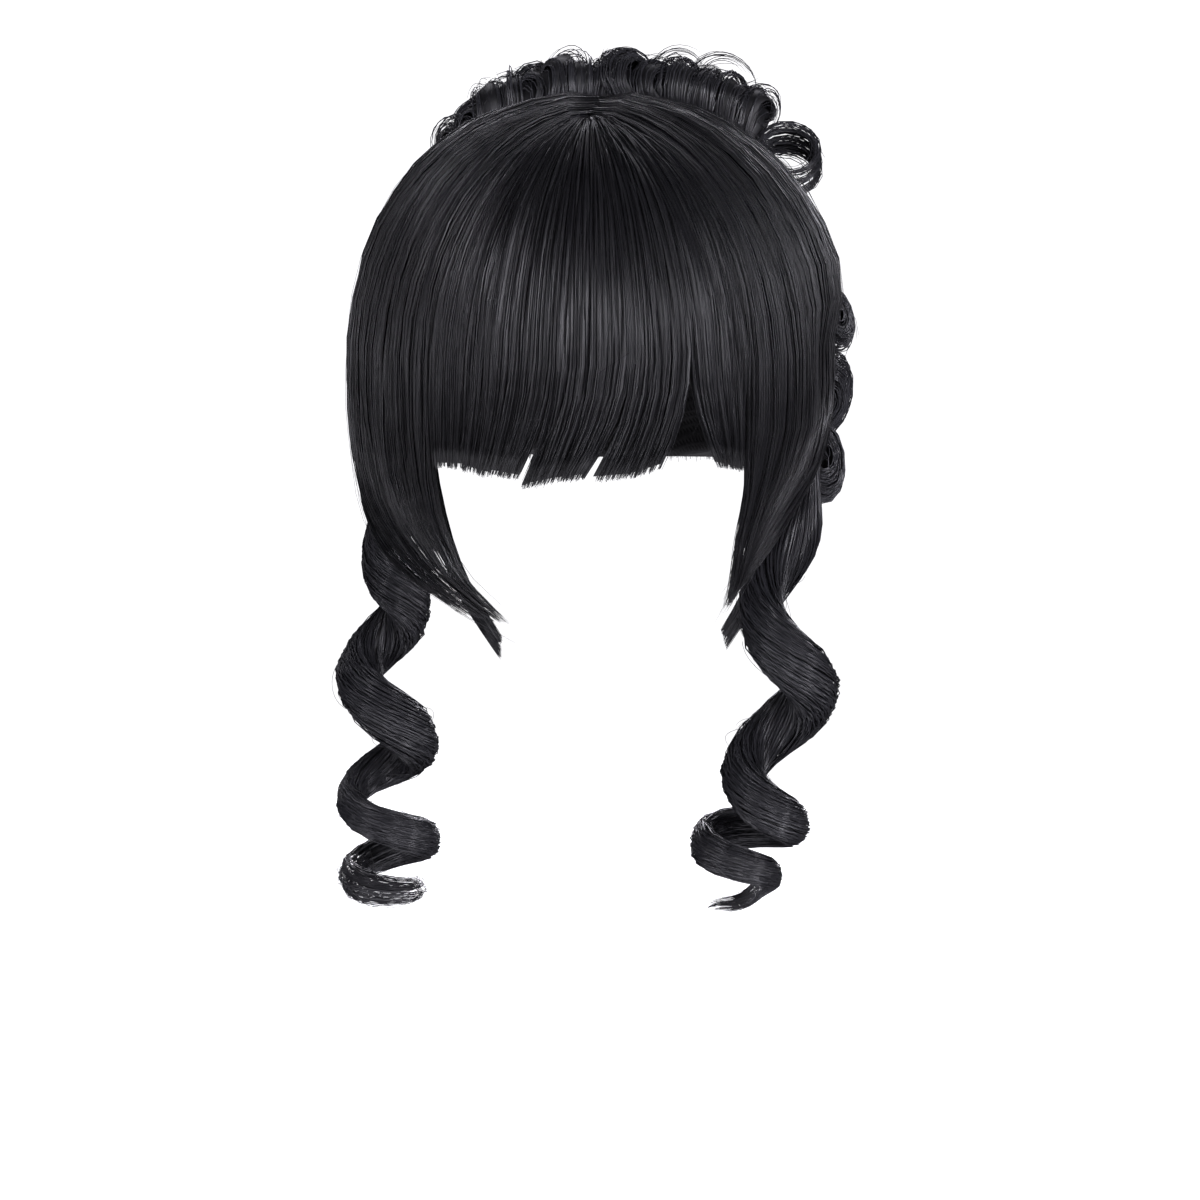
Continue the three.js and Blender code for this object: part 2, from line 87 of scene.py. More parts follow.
# Side locks: the share of a crown half that runs into them, and levels from the widest part of
# the crown to the tip, with the angle and height of the front edge and of the back edge, and the
# share of the hair surface that they reach
SIDELOCK_SHARE = 0.72
SIDELOCKS = {
    "right": (
        (34.0, -118.0, 90.0, -118.0, 0.994),
        (34.3, -135.0, 88.0, -137.0, 0.978),
        (33.5, -153.0, 80.0, -154.0, 0.952),
        (31.5, -165.0, 66.0, -168.0, 0.925),
        (28.5, -177.0, 49.0, -180.0, 0.895),
        (17.0, -194.5, 20.5, -197.5, 0.845),
    ),
    "left": (
        (40.5, -118.0, 92.0, -118.0, 0.994),
        (41.0, -135.0, 84.0, -137.0, 0.975),
        (41.5, -150.0, 68.0, -154.0, 0.948),
        (41.0, -165.0, 57.0, -170.0, 0.92),
        (41.0, -180.0, 48.5, -183.0, 0.89),
        (40.6, -190.5, 44.0, -193.0, 0.85),
    ),
}

# Locks beside the neck, from the root down on the wearer's left: their middle, their tips, their
# width at root and tip, and their thickness
NAPE_LOCK_PATH = ((76.9, 31.0, -92.0), (76.9, 31.0, -112.0), (72.0, 30.0, -160.0),
                  (62.0, 28.0, -194.0))
NAPE_LOCK_TIPS = {"right": (42.5, 33.0, -228.0), "left": (46.5, 32.0, -222.0)}
NAPE_LOCK_WIDTHS = (15.0, 7.0)
NAPE_LOCK_THICKNESS = 3.0

# Ringlets, from the root down: turn round the axis in degrees, height, the axis, the radius of
# the winding, and the width and thickness of the lock
RINGLETS = {
    "right": (
        (168.0, -100.0, -73.3, 20.0, 13.5, 20.0, 5.0),
        (168.0, -146.0, -74.0, 15.0, 12.5, 22.0, 6.0),
        (200.0, -176.0, -82.0, 4.0, 10.0, 24.0, 15.0),
        (360.0, -200.0, -86.5, -6.0, 8.0, 24.0, 19.0),
        (540.0, -227.0, -88.0, -9.0, 10.5, 23.0, 20.0),
        (720.0, -255.0, -86.5, -11.0, 12.0, 24.0, 19.0),
        (900.0, -279.0, -89.0, -12.0, 13.5, 15.0, 12.0),
        (1080.0, -296.0, -85.5, -13.0, 14.5, 17.0, 14.0),
        (1260.0, -311.0, -88.0, -14.0, 14.0, 14.0, 10.0),
        (1410.0, -316.0, -85.0, -14.0, 11.8, 7.5, 5.5),
        (1500.0, -314.5, -84.5, -14.0, 10.0, 4.0, 3.5),
    ),
    "left": (
        (12.0, -100.0, 73.4, 20.0, 13.5, 20.0, 5.0),
        (12.0, -146.0, 73.0, 15.0, 12.5, 22.0, 6.0),
        (60.0, -170.0, 75.0, 2.0, 9.0, 24.0, 15.0),
        (180.0, -196.0, 75.5, -6.0, 9.0, 24.0, 19.0),
        (360.0, -231.0, 76.0, -9.0, 12.5, 26.0, 22.0),
        (540.0, -265.0, 71.5, -11.0, 11.5, 23.0, 19.0),
        (720.0, -287.0, 68.0, -12.0, 13.0, 19.0, 14.0),
        (900.0, -294.0, 59.5, -13.0, 15.5, 18.0, 12.0),
        (1080.0, -308.0, 58.5, -14.0, 14.0, 12.0, 9.0),
        (1175.0, -321.0, 60.5, -14.0, 11.0, 5.5, 4.5),
        (1275.0, -321.5, 61.0, -14.0, 15.0, 2.5, 2.5),
    ),
}

# Rolled curls: their width at root and end, how far they wind, the share of their radius that is
# left at the end, their sideways drift and the unevenness of their size
CURL_WIDTH = 27.0
CURL_END_WIDTH = 18.0
CURL_SWEEP_DEGREES = 385.0
CURL_END_SHARE = 0.5
CURL_DRIFT = 3.0
CURL_UNEVENNESS = 0.1

# Sewn rows that carry the curls: the row's polar angle from straight behind (none for the
# column), its curls, their radius at the ends and at the crest, and its leg drop
COLUMN_RISE = 34.0
CURL_WEFTS = (
    (57.0, 18, 11.5, 13.0, 52.0),
    (41.0, 13, 12.5, 13.0, 50.0),
    (25.0, 9, 12.5, 12.5, 48.0),
    (None, 4, 12.0, 12.5, 51.0),
)

# Curls of the first row that show from the front, by their number from the wearer's right: their
# slip along the row, the heading of the roll in degrees from the way along the row, its size
# share, the height of its stalk, its tilt towards the crest, its looseness, whether it is filled,
# and the number of rolls side by side
CREST_CURLS = {
    4: (0.0, -40.0, 1.0, 6.0, 0.4, 1.5, True, 2),
    5: (0.0, -30.0, 1.05, 10.0, 0.6, 1.9, True, 2),
    6: (0.0, -35.0, 1.1, 8.5, 0.45, 1.6, True, 2),
    7: (0.0, -45.0, 1.06, 5.0, 0.25, 1.5, True, 2),
    8: (0.0, -55.0, 1.06, 2.5, 0.05, 1.3, True, 2),
    9: (0.0, -130.0, 1.14, 0.5, 0.05, 0.7, True, 2),
    10: (0.0, -130.0, 1.17, 6.2, 0.18, 1.3, True, 2),
    11: (0.0, -148.0, 1.2, 8.6, 0.25, 1.5, True, 2),
    12: (0.06, 156.0, 1.3, 1.4, -0.05, 1.15, False, 1),
    13: (0.0, -95.0, 0.78, 0.0, 0.0, 0.7, True, 1),
    14: (0.0, -80.0, 0.8, 0.0, 0.0, 0.7, True, 1),
    15: (-0.2, 160.0, 1.02, 1.0, 0.0, 0.5, True, 1),
    16: (-0.1, 20.0, 1.4, -6.0, 0.0, 0.35, True, 1),
    17: (0.1, -20.0, 1.35, -6.0, 0.0, 0.35, True, 1),
}
# Numbers of the curls beside the left side hair, and of those with thin loops
SIDE_CURLS = range(15, 18)
LOOPED_CURLS = range(4, 12)

# Repeatable uneven numbers: steps for a row, a piece and a trait, their scale, and the traits
UNEVEN_STEPS = (12.9898, 78.233, 37.719)
UNEVEN_SCALE = 43758.5453
UNEVEN_TRAITS = {
    "size": 3, "heading": 4, "veer": 5, "swell": 6, "rise": 7,
    "loop slip": 5, "loop swell": 6, "loop veer": 7,
}

# Strands: height shares of their locks, the step along a lock that gives its direction, the
# waves of a shared sway, and the unevenness in the reach of a short rise
LOCK_HEIGHTS = (0.4, 1.0)
LEVEL_NUDGE = 0.01
SWAY_WAVES = range(4, 8)
BUMP_REACHES = (0.6, 1.4)

# Smooth layers: how much denser they are near the top, the small moves of their strands and of
# their tufts, and the part of a strand's tone that its tuft gives as painted shade, darker in the
# valleys and lighter on the crowns, here and in rolled locks
LAYER_BIAS = 1.5
LAYER_WANDER = 0.3
LAYER_WAVES = 4
LAYER_SWAY = 0.34
LAYER_TONE = 0.45
ROLL_TONE = 0.4

# Finishes: the fibre's refraction, and the net's roughness, the turn and fineness of its threads,
# the shades of gaps and threads, and their relief
FIBRE_IOR = 1.54
NET_ROUGHNESS = 0.82
THREAD_TURN = math.radians(45.0)
THREAD_SCALE = 220.0
THREAD_SHADES = (0.45, 1.5)
THREAD_RELIEF = {"Strength": 0.5, "Distance": 0.0004}


class WigFibre(bpy.types.PropertyGroup):
    """Thickness, colour and gloss of the fibre"""

    strand_width: bpy.props.FloatProperty(
        name="Strand width", description="Width of a modelled strand", default=0.00062,
        unit="LENGTH")
    stray_width: bpy.props.FloatProperty(
        name="Stray width", description="Width of a loose hair", default=0.00022,
        unit="LENGTH")
    lock_relief: bpy.props.FloatProperty(
        name="Lock relief", description="How far locks stand out from each other",
        default=0.0011, unit="LENGTH")
    dark: bpy.props.FloatVectorProperty(
        name="Dark fibre", description="Colour of the darkest strands",
        default=(0.0065, 0.0065, 0.0078), size=3, subtype="COLOR")
    light: bpy.props.FloatVectorProperty(
        name="Light fibre", description="Colour of the lightest strands",
        default=(0.0125, 0.0125, 0.0145), size=3, subtype="COLOR")
    smoothest: bpy.props.FloatProperty(
        name="Smoothest", description="Roughness of the glossiest strands", default=0.25,
        subtype="FACTOR")
    roughest: bpy.props.FloatProperty(
        name="Roughest", description="Roughness of the dullest strands", default=0.48,
        subtype="FACTOR")
    net: bpy.props.FloatVectorProperty(
        name="Cap net", description="Colour of the stretch cap", default=(0.012, 0.0115, 0.0125),
        size=3, subtype="COLOR")


class WigStudio(bpy.types.PropertyGroup):
    """Camera, floor and lights"""

    camera_distance: bpy.props.FloatProperty(
        name="Camera distance", description="From the camera to the middle of the picture",
        default=1.8, unit="LENGTH")
    camera_azimuth: bpy.props.FloatProperty(
        name="Camera azimuth", description="Angle of the camera towards the wearer's left",
        default=math.radians(6.0), unit="ROTATION")
    camera_elevation: bpy.props.FloatProperty(
        name="Camera elevation", description="Angle of the camera above the horizon",
        default=math.radians(9.0), unit="ROTATION")
    picture_width: bpy.props.FloatProperty(
        name="Picture width", description="Width of the picture at the wig", default=0.492,
        unit="LENGTH")
    picture_middle: bpy.props.FloatProperty(
        name="Picture middle", description="Level of the middle of the picture", default=-0.1974,
        unit="LENGTH")
    floor_level: bpy.props.FloatProperty(
        name="Floor level", description="Level of the studio floor", default=-0.62,
        unit="LENGTH")
    floor_colour: bpy.props.FloatVectorProperty(
        name="Floor", description="Colour of the studio floor", default=(0.86, 0.86, 0.87),
        size=3, subtype="COLOR")


def unit(vectors):
    """Vectors at length 1."""
    return vectors / np.maximum(np.linalg.norm(vectors, axis=-1, keepdims=True), 1e-9)


def ease(x, start=0.0, end=1.0):
    """A smooth way from 0 at the start to 1 at the end."""
    x = np.clip((x - start) / (end - start), 0.0, 1.0)
    return x * x * (3.0 - 2.0 * x)


def mix(a, b, share):
    """A value at a share of the way from one to another."""
    return a + (b - a) * share


def through(values, level):
    """A smooth curve through evenly spaced values, at any level between them."""
    values = np.asarray(values, float)
    last = len(values) - 1
    i = np.clip(np.floor(level).astype(int), 0, last - 1)
    t = level - i

    def slope(n):
        low, high = np.maximum(n - 1, 0), np.minimum(n + 1, last)
        return (values[high] - values[low]) / (high - low)

    return ((2 * t**3 - 3 * t**2 + 1) * values[i] + (t**3 - 2 * t**2 + t) * slope(i)
            + (3 * t**2 - 2 * t**3) * values[i + 1] + (t**3 - t**2) * slope(i + 1))


def uneven(row, piece, trait):
    """A repeatable uneven number from -1 to 1 for each piece of a row."""
    row_step, piece_step, trait_step = UNEVEN_STEPS
    turn = row * row_step + piece * piece_step + UNEVEN_TRAITS[trait] * trait_step
    wave = math.sin(turn) * UNEVEN_SCALE
    return 2 * (wave - math.floor(wave)) - 1


def dome(layer, p, q, drop, lift=0.0):
    """Points on a dome, at shares p and q of its half width and half depth. Below the widest
    level the hair hangs by the drop, and the lift is the distance off the dome."""
    width, depth, rise = layer
    spread = np.minimum(np.hypot(p, q), 1.0)
    height = np.maximum(1.0 - spread**DOME_FULLNESS, 0.0) ** (1.0 / DOME_FULLNESS)
    draw = 1.0 - HANG_TAPER * drop**2
    return np.stack(np.broadcast_arrays(
        (width + lift) * p * draw,
        (depth + lift) * q * draw,
        EQUATOR_Z + (rise + lift) * height - drop), axis=-1)


def outward(layer, points):
    """Outward directions of a dome at its points."""
    width, depth, rise = layer
    p, q = points[..., 0] / width, points[..., 1] / depth
    height = np.maximum(points[..., 2] - EQUATOR_Z, 0.0) / rise
    spread = np.hypot(p, q) ** (DOME_FULLNESS - 2)
    return unit(np.stack(
        (spread * p / width, spread * q / depth, height ** (DOME_FULLNESS - 1) / rise), axis=-1))


class Hair:
    """Gathers strands and under-layers, in millimetres, and makes one mesh of them."""

    STRAND_SIDES = 3
    UNDER_TONE = 0.0
    # The finish map: the height of the strands' band, how full its cells are, how many times more
    # cells of the under-layers lie across than up, and the corners of faces in a cell
    STRAND_BAND = 0.8
    CELL_FILL = 0.9
    UNDER_CELLS = 4
    FACE_CORNERS = ((0, 0), (0, 1), (1, 1), (1, 0))
    END_CORNERS = ((0, 0), (1, 0), (0, 1))

    def __init__(self):
        self.points = []
        self.tones = []
        self.quads = []
        self.triangles = []
        self.count = 0
        self.strand_sets = []

    def _add_points(self, points, tones):
        """Keeps points with their tones, and tells the number of the first."""
        first = self.count
        self.points.append(points.reshape(-1, 3))
        self.tones.append(tones.reshape(-1))
        self.count += self.points[-1].shape[0]
        return first

    def strands(self, lines, widths, out, rng, tip=0.25, thinning=5, tones=None):
        """Closed thin tubes along lines of shape (strands, points, 3). They thin towards the
        tip, later for a higher thinning."""
        n, m, _ = lines.shape
        k = self.STRAND_SIDES
        along = unit(np.gradient(lines, axis=1))
        side = unit(np.cross(along, np.broadcast_to(out, lines.shape)))
        up = np.cross(side, along)
        share = np.linspace(0.0, 1.0, m)
        taper = mix(1.0, tip, share**thinning)
        girth = (np.asarray(widths)[:, None] / 2 * taper)[..., None]
        turn = np.arange(k) * 2 * math.pi / k - math.pi / 2
        rings = np.stack(
            [lines + girth * (math.cos(a) * side + math.sin(a) * up) for a in turn], axis=2)
        tones = rng.uniform(0.0, 1.0, n) if tones is None else tones
        tones = np.broadcast_to(tones.reshape(n, -1), (n, m))
        first = self._add_points(rings, np.repeat(tones.reshape(-1), k))
        i, j, s = np.meshgrid(np.arange(n), np.arange(m - 1), np.arange(k), indexing="ij")
        near = first + (i * m + j) * k
        after = (s + 1) % k
        self.quads.append(
            np.stack((near + s, near + k + s, near + k + after, near + after), -1).reshape(-1, 4))
        root = first + np.arange(n) * m * k
        tips = root + (m - 1) * k
        self.triangles.append(np.stack((root, root + 1, root + 2), -1))
        self.triangles.append(np.stack((tips, tips + 2, tips + 1), -1))
        self.strand_sets.append((len(self.quads) - 1, len(self.triangles) - 2, n, m))

    def wall(self, outer, inner):
        """A closed sheet between two grids of points of shape (columns, rows, 3)."""
        c, r, _ = outer.shape
        tones = np.full(2 * c * r, self.UNDER_TONE)
        first = self._add_points(np.concatenate((outer, inner)), tones)
        a = first + np.arange(c * r).reshape(c, r)
        b = a + c * r
        faces = [
            np.stack((a[:-1, :-1], a[1:, :-1], a[1:, 1:], a[:-1, 1:]), -1).reshape(-1, 4),
            np.stack((b[:-1, :-1], b[:-1, 1:], b[1:, 1:], b[1:, :-1]), -1).reshape(-1, 4),
            np.stack((a[:-1, 0], b[:-1, 0], b[1:, 0], a[1:, 0]), -1),
            np.stack((a[:-1, -1], a[1:, -1], b[1:, -1], b[:-1, -1]), -1),
            np.stack((a[0, :-1], a[0, 1:], b[0, 1:], b[0, :-1]), -1),
            np.stack((a[-1, :-1], b[-1, :-1], b[-1, 1:], a[-1, 1:]), -1),
        ]
        self._add_facing_out(np.concatenate(faces), first)

    def core(self, sections):
        """A closed lock through sections of shape (steps, sides, 3)."""
        steps, sides, _ = sections.shape
        first = self._add_points(sections, np.full(steps * sides, self.UNDER_TONE))
        a = first + np.arange(steps * sides).reshape(steps, sides)
        turned = np.roll(a, -1, axis=1)
        faces = [np.stack((a[:-1], a[1:], turned[1:], turned[:-1]), -1).reshape(-1, 4)]
        half = sides // 2
        for ring, order in ((a[0], (0, 1, 2, 3)), (a[-1], (3, 2, 1, 0))):
            ends = np.stack(
                [(ring[i], ring[i + 1], ring[sides - 2 - i], ring[sides - 1 - i])
                 for i in range(half - 1)])
            faces.append(ends[:, order])
        self._add_facing_out(np.concatenate(faces), first)

    def _add_facing_out(self, faces, first):
        """Keeps four-sided faces of one closed body, turned so that they face out."""
        points = self.points[-1]
        corner = points[faces - first]
        volume = np.einsum("ij,ij->", corner[:, 0], np.cross(corner[:, 1], corner[:, 2]))
        volume += np.einsum("ij,ij->", corner[:, 0], np.cross(corner[:, 2], corner[:, 3]))
        self.quads.append(faces if volume > 0 else faces[:, ::-1])

    @staticmethod
    def _cells(left, low, width, height, corners):
        """Places of face corners in cells of the finish map."""
        places = [np.stack((left + a * width, low + b * height), -1) for a, b in corners]
        return np.stack(places, axis=-2).reshape(-1, 2)

    def _maps(self):
        """A place on the finish map for each face corner: a cell for each strand, and a band
        for the under-layers."""
        k = self.STRAND_SIDES
        total = sum(n for _, _, n, _ in self.strand_sets)
        cells = max(math.ceil(math.sqrt(total)), 1)
        width = self.CELL_FILL / cells
        height = width * self.STRAND_BAND
        quads = [None] * len(self.quads)
        triangles = [None] * len(self.triangles)
        done = 0
        for quad_set, triangle_set, n, m in self.strand_sets:
            number = done + np.arange(n)
            done += n
            left = (number % cells) / cells
            low = (number // cells) / cells * self.STRAND_BAND
            i, j, s = np.meshgrid(np.arange(n), np.arange(m - 1), np.arange(k), indexing="ij")
            u, v = left[i] + width * s / k, low[i] + height * j / (m - 1)
            size = (width / k, height / (m - 1))
            quads[quad_set] = self._cells(u, v, *size, self.FACE_CORNERS)
            ends = self._cells(left, low, *size, self.END_CORNERS)
            triangles[triangle_set] = ends
            triangles[triangle_set + 1] = ends
        others = [i for i, places in enumerate(quads) if places is None]
        faces = sum(len(self.quads[i]) for i in others)
        across = max(math.ceil(math.sqrt(faces * self.UNDER_CELLS)), 1)
        rows = math.ceil(faces / across)
        band = 1.0 - self.STRAND_BAND
        done = 0
        for i in others:
            number = done + np.arange(len(self.quads[i]))
            done += len(number)
            left = (number % across) / across
            low = self.STRAND_BAND + band * (number // across) / rows
            size = (self.CELL_FILL / across, self.CELL_FILL * band / rows)
            quads[i] = self._cells(left, low, *size, self.FACE_CORNERS)
        return np.concatenate(quads + triangles)

    def make(self, name, material):
        """The mesh object, with its finish map and the tone of each strand."""
        points = np.concatenate(self.points) * MM
        quads = np.concatenate(self.quads)
        triangles = np.concatenate(self.triangles) if self.triangles else np.empty((0, 3), int)
        mesh = bpy.data.meshes.new(name)
        mesh.vertices.add(len(points))
        mesh.vertices.foreach_set("co", points.astype(np.float32).ravel())
        corners = np.concatenate((quads.ravel(), triangles.ravel())).astype(np.int32)
        mesh.loops.add(len(corners))
        mesh.loops.foreach_set("vertex_index", corners)
        mesh.polygons.add(len(quads) + len(triangles))
        starts = np.concatenate(
            (np.arange(len(quads)) * 4, len(quads) * 4 + np.arange(len(triangles)) * 3))
        mesh.polygons.foreach_set("loop_start", starts.astype(np.int32))
        mesh.update(calc_edges=True)
        mesh.shade_smooth()
        finish_map = mesh.uv_layers.new(name="OFBake")
        finish_map.uv.foreach_set("vector", self._maps().astype(np.float32).ravel())
        tone = mesh.attributes.new("tone", "FLOAT", "POINT")
        tone.data.foreach_set("value", np.concatenate(self.tones).astype(np.float32))
        if mesh.validate():
            raise RuntimeError(f"{name} has faulty faces")
        mesh.materials.append(material)
        piece = bpy.data.objects.new(name, mesh)
        bpy.context.scene.collection.objects.link(piece)
        return piece


def settle(piece, slot, *nodes):
    """Rides the piece on the wig, in place of its solids."""
    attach(piece, "root")
    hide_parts(*nodes)


def add_node(tree, kind, inputs=()):
    """A shader node of a kind, with values for some of its inputs."""
    node = tree.nodes.new("ShaderNode" + kind)
    for name, value in dict(inputs).items():
        node.inputs[name].default_value = value
    return node


def two_colours(tree, first, second):
    """A node that goes from one colour to another by its factor."""
    node = tree.nodes.new("ShaderNodeMix")
    node.data_type = "RGBA"
    node.inputs["A"].default_value = (*first, 1.0)
    node.inputs["B"].default_value = (*second, 1.0)
    return node


def join(tree, *links):
    """Joins nodes, each link given as a node, its output, another node and that one's input."""
    for source, output, target, entry in links:
        tree.links.new(source.outputs[output], target.inputs[entry])


def new_material(name, inputs):
    """A material with its node tree and its main shader, some of whose inputs take values."""
    material = bpy.data.materials.new(name)
    material.use_nodes = True
    shader = material.node_tree.nodes["Principled BSDF"]
    for entry, value in inputs.items():
        shader.inputs[entry].default_value = value
    return material, material.node_tree, shader


def fibre_material(fibre):
    """Black fibre whose strands differ a little in colour and gloss; their tones also paint light
    and shade.
    """
    name = "Black fibre"
    if name in bpy.data.materials:
        return bpy.data.materials[name]
    material, tree, shader = new_material(name, {"IOR": FIBRE_IOR})
    tone = add_node(tree, "Attribute")
    tone.attribute_name = "tone"
    colour = two_colours(tree, fibre.dark, fibre.light)
    # Tones past 1 carry painted light and a painted highlight, so the colour runs on past the
    # light fibre
    colour.clamp_factor = False
    gloss = add_node(tree, "MapRange", {"To Min": fibre.roughest, "To Max": fibre.smoothest})
    join(tree, (tone, "Fac", colour, "Factor"), (colour, "Result", shader, "Base Color"),
         (tone, "Fac", gloss, "Value"), (gloss, "Result", shader, "Roughness"))
    return material


def net_material(fibre):
    """Dark stretch net with a fine mesh of threads."""
    material, tree, shader = new_material("Cap net", {"Roughness": NET_ROUGHNESS})
    place = add_node(tree, "TexCoord")
    weave = add_node(tree, "Math")
    weave.operation = "MAXIMUM"
    for thread, turn in enumerate((THREAD_TURN, -THREAD_TURN)):
        turned = add_node(tree, "Mapping", {"Rotation": (0.0, turn, turn)})
        wave = add_node(tree, "TexWave", {"Scale": THREAD_SCALE})
        join(tree, (place, "Object", turned, "Vector"), (turned, "Vector", wave, "Vector"),
             (wave, "Fac", weave, thread))
    gap, thread = ([c * shade for c in fibre.net] for shade in THREAD_SHADES)
    colour = two_colours(tree, gap, thread)
    relief = add_node(tree, "Bump", THREAD_RELIEF)
    join(tree, (weave, "Value", colour, "Factor"), (weave, "Value", relief, "Height"),
         (colour, "Result", shader, "Base Color"), (relief, "Normal", shader, "Normal"))
    return material


def lock_relief(share, locks, rng):
    """How far strands stand out, from 0 in the valleys to 1 on the crowns of uneven locks, with
    the middle and the number of each strand's lock."""
    edges = np.sort(np.concatenate(([0.0, 1.0], rng.uniform(0.0, 1.0, locks - 1))))
    lock = np.clip(np.searchsorted(edges, share, side="right") - 1, 0, locks - 1)
    low, high = edges[lock], edges[lock + 1]
    middle = (low + high) / 2
    off = (share - middle) / np.maximum((high - low) / 2, 1e-6)
    height = rng.uniform(*LOCK_HEIGHTS, locks)[lock]
    return (1.0 - off**2) * height, middle, lock


def lock_tones(rng, relief, lock_share, painted_light=0.0):
    """Tones of strands, partly by chance and partly by how far they stand out, as painted shade
    that darkens the valleys between locks and lightens their crowns; any painted light is added
    to every strand.
    """
    chance = rng.uniform(0.0, 1.0, len(relief))
    return painted_light + (1.0 - lock_share) * chance + lock_share * relief


def ripples(rng, count, points, waves, fading):
    """Smooth moves along lines, as waves of chance size and place. Shorter waves fade."""
    t = np.linspace(0.0, 1.0, points)
    total = np.zeros((count, points))
    for wave in waves:
        phase = rng.uniform(0.0, 2 * math.pi, (count, 1))
        size = rng.normal(0.0, 1.0 / wave**fading, (count, 1))
        total += size * np.sin(wave * math.pi * t + phase)
    return total


def wander(rng, strands, points, amount, waves=3):
    """Small smooth moves along strands, in millimetres."""
    return ripples(rng, strands, points, range(1, waves + 1), 1) * amount


def sway(rng, lock, points, amount):
    """Small moves that the strands of a lock share, in millimetres. They break up the shine."""
    return (ripples(rng, lock.max() + 1, points, SWAY_WAVES, 0) * amount)[lock]


def bump(rng, strands, points, first, last, reach):
    """A short rise somewhere along each strand, from 0 to 1."""
    t = np.linspace(0.0, 1.0, points)[None, :]
    middle = rng.uniform(first, last, (strands, 1))
    return np.exp(-((t - middle) / (reach * rng.uniform(*BUMP_REACHES, (strands, 1)))) ** 2)


def layer_lift(rng, relief, fine, heights, depth, step):
    """How far strands of a smooth layer lie off its surface, by their locks and tufts."""
    deep = rng.uniform(0.0, 1.0, len(relief)) ** LAYER_BIAS
    lock_height, tuft_height = heights
    return (relief * lock_height + fine * tuft_height - 1.0) * step - depth * deep


def stirred(rng, lift, tuft, points):
    """The lift along the strands of a smooth layer, with small moves of strands and tufts."""
    lift = lift[:, None] + wander(rng, len(lift), points, LAYER_WANDER, LAYER_WAVES)
    return lift + sway(rng, tuft, points, LAYER_SWAY)


def fall(root_p, root_q, angle, end_z, steps, start=0.0):
    """Hair that falls from the crown to the widest level at an angle, then hangs to an end.
    Returns shares p and q and the drop, of shape (strands, steps)."""
    t = np.linspace(0.0, 1.0, steps)[None, :]
    hang = np.maximum(EQUATOR_Z - end_z, 1.0)[:, None]
    on_dome = CROWN_LENGTH / (CROWN_LENGTH + hang)
    way = mix(start, 1.0, np.sin(np.clip(t / on_dome, 0.0, 1.0) * math.pi / 2))
    drop = np.maximum(t - on_dome, 0.0) / (1.0 - on_dome) * hang
    foot_p, foot_q = np.sin(np.radians(angle)), -np.cos(np.radians(angle))
    return mix(root_p, foot_p, way), mix(root_q, foot_q, way), drop


def root_dip(p, q, root_p, root_q, depth, reach):
    """How far hair dips towards the cap near its roots."""
    return -depth * (1.0 - ease(np.hypot(p - root_p, q - root_q) / reach))


def add_core(hair, lines, lock, level, sides, share):
    """The dense inside of a lock, as rings of points on its lines."""
    turn = np.arange(sides) * 2 * math.pi / sides
    points, _ = lines(lock, level[:, None], np.cos(turn) * share, np.sin(turn) * share)
    hair.core(points)


class WIG_OT_make_cap(bpy.types.Operator):
    """Makes the stretch cap with its sewn rows and bound rim"""

    bl_idname = "wig.make_cap"
    bl_label = "Make cap"

    COLUMNS = 72
    ROWS = 45
    SEWN_ROWS = 11
    ROW_RELIEF = 0.7
    ROW_SHARPNESS = 6
    BINDING = 0.6
    BINDING_START = 0.96
    INSIDE_EASE = 0.2

    def execute(self, context):
        angle = np.linspace(0.0, 2 * math.pi, self.COLUMNS + 1)[:, None]
        facing = np.cos(angle)
        swing = (CAP_RIM["front"] - CAP_RIM["nape"]) / 2
        lift = (CAP_RIM["front"] + CAP_RIM["nape"]) / 2 - CAP_RIM["side"]
        rim = CAP_RIM["side"] + swing * facing + lift * facing**2
        share = np.linspace(0.0, 1.0, self.ROWS)[None, :]
        seams = np.abs(np.sin(share * self.SEWN_ROWS * math.pi)) ** self.ROW_SHARPNESS
        sewn = seams * self.ROW_RELIEF
        binding = self.BINDING * (share > self.BINDING_START)

        def side_of(layer, off):
            _, depth, rise = layer
            height = np.maximum(rim - EQUATOR_Z, 0.0) / rise
            spread = (1.0 - height**DOME_FULLNESS) ** (1.0 / DOME_FULLNESS)
            drop = np.maximum(EQUATOR_Z - rim, 0.0)
            hang = drop / (drop + depth)
            way = np.sin(np.minimum(share / (1.0 - hang), 1.0) * np.arcsin(spread))
            hung = np.maximum(share - (1.0 - hang), 0.0) / np.maximum(hang, 1e-6) * drop
            return dome(layer, np.sin(angle) * way, -facing * way, hung, off)

        outside = tuple(size + CAP_WALL for size in CAP_INSIDE)
        hair = Hair()
        hair.wall(side_of(outside, binding),
                  side_of(CAP_INSIDE, -sewn - binding + self.INSIDE_EASE))
        piece = hair.make("cap", net_material(context.scene.wig_fibre))
        settle(piece, "cap_net", "wig_cap")
        return {"FINISHED"}


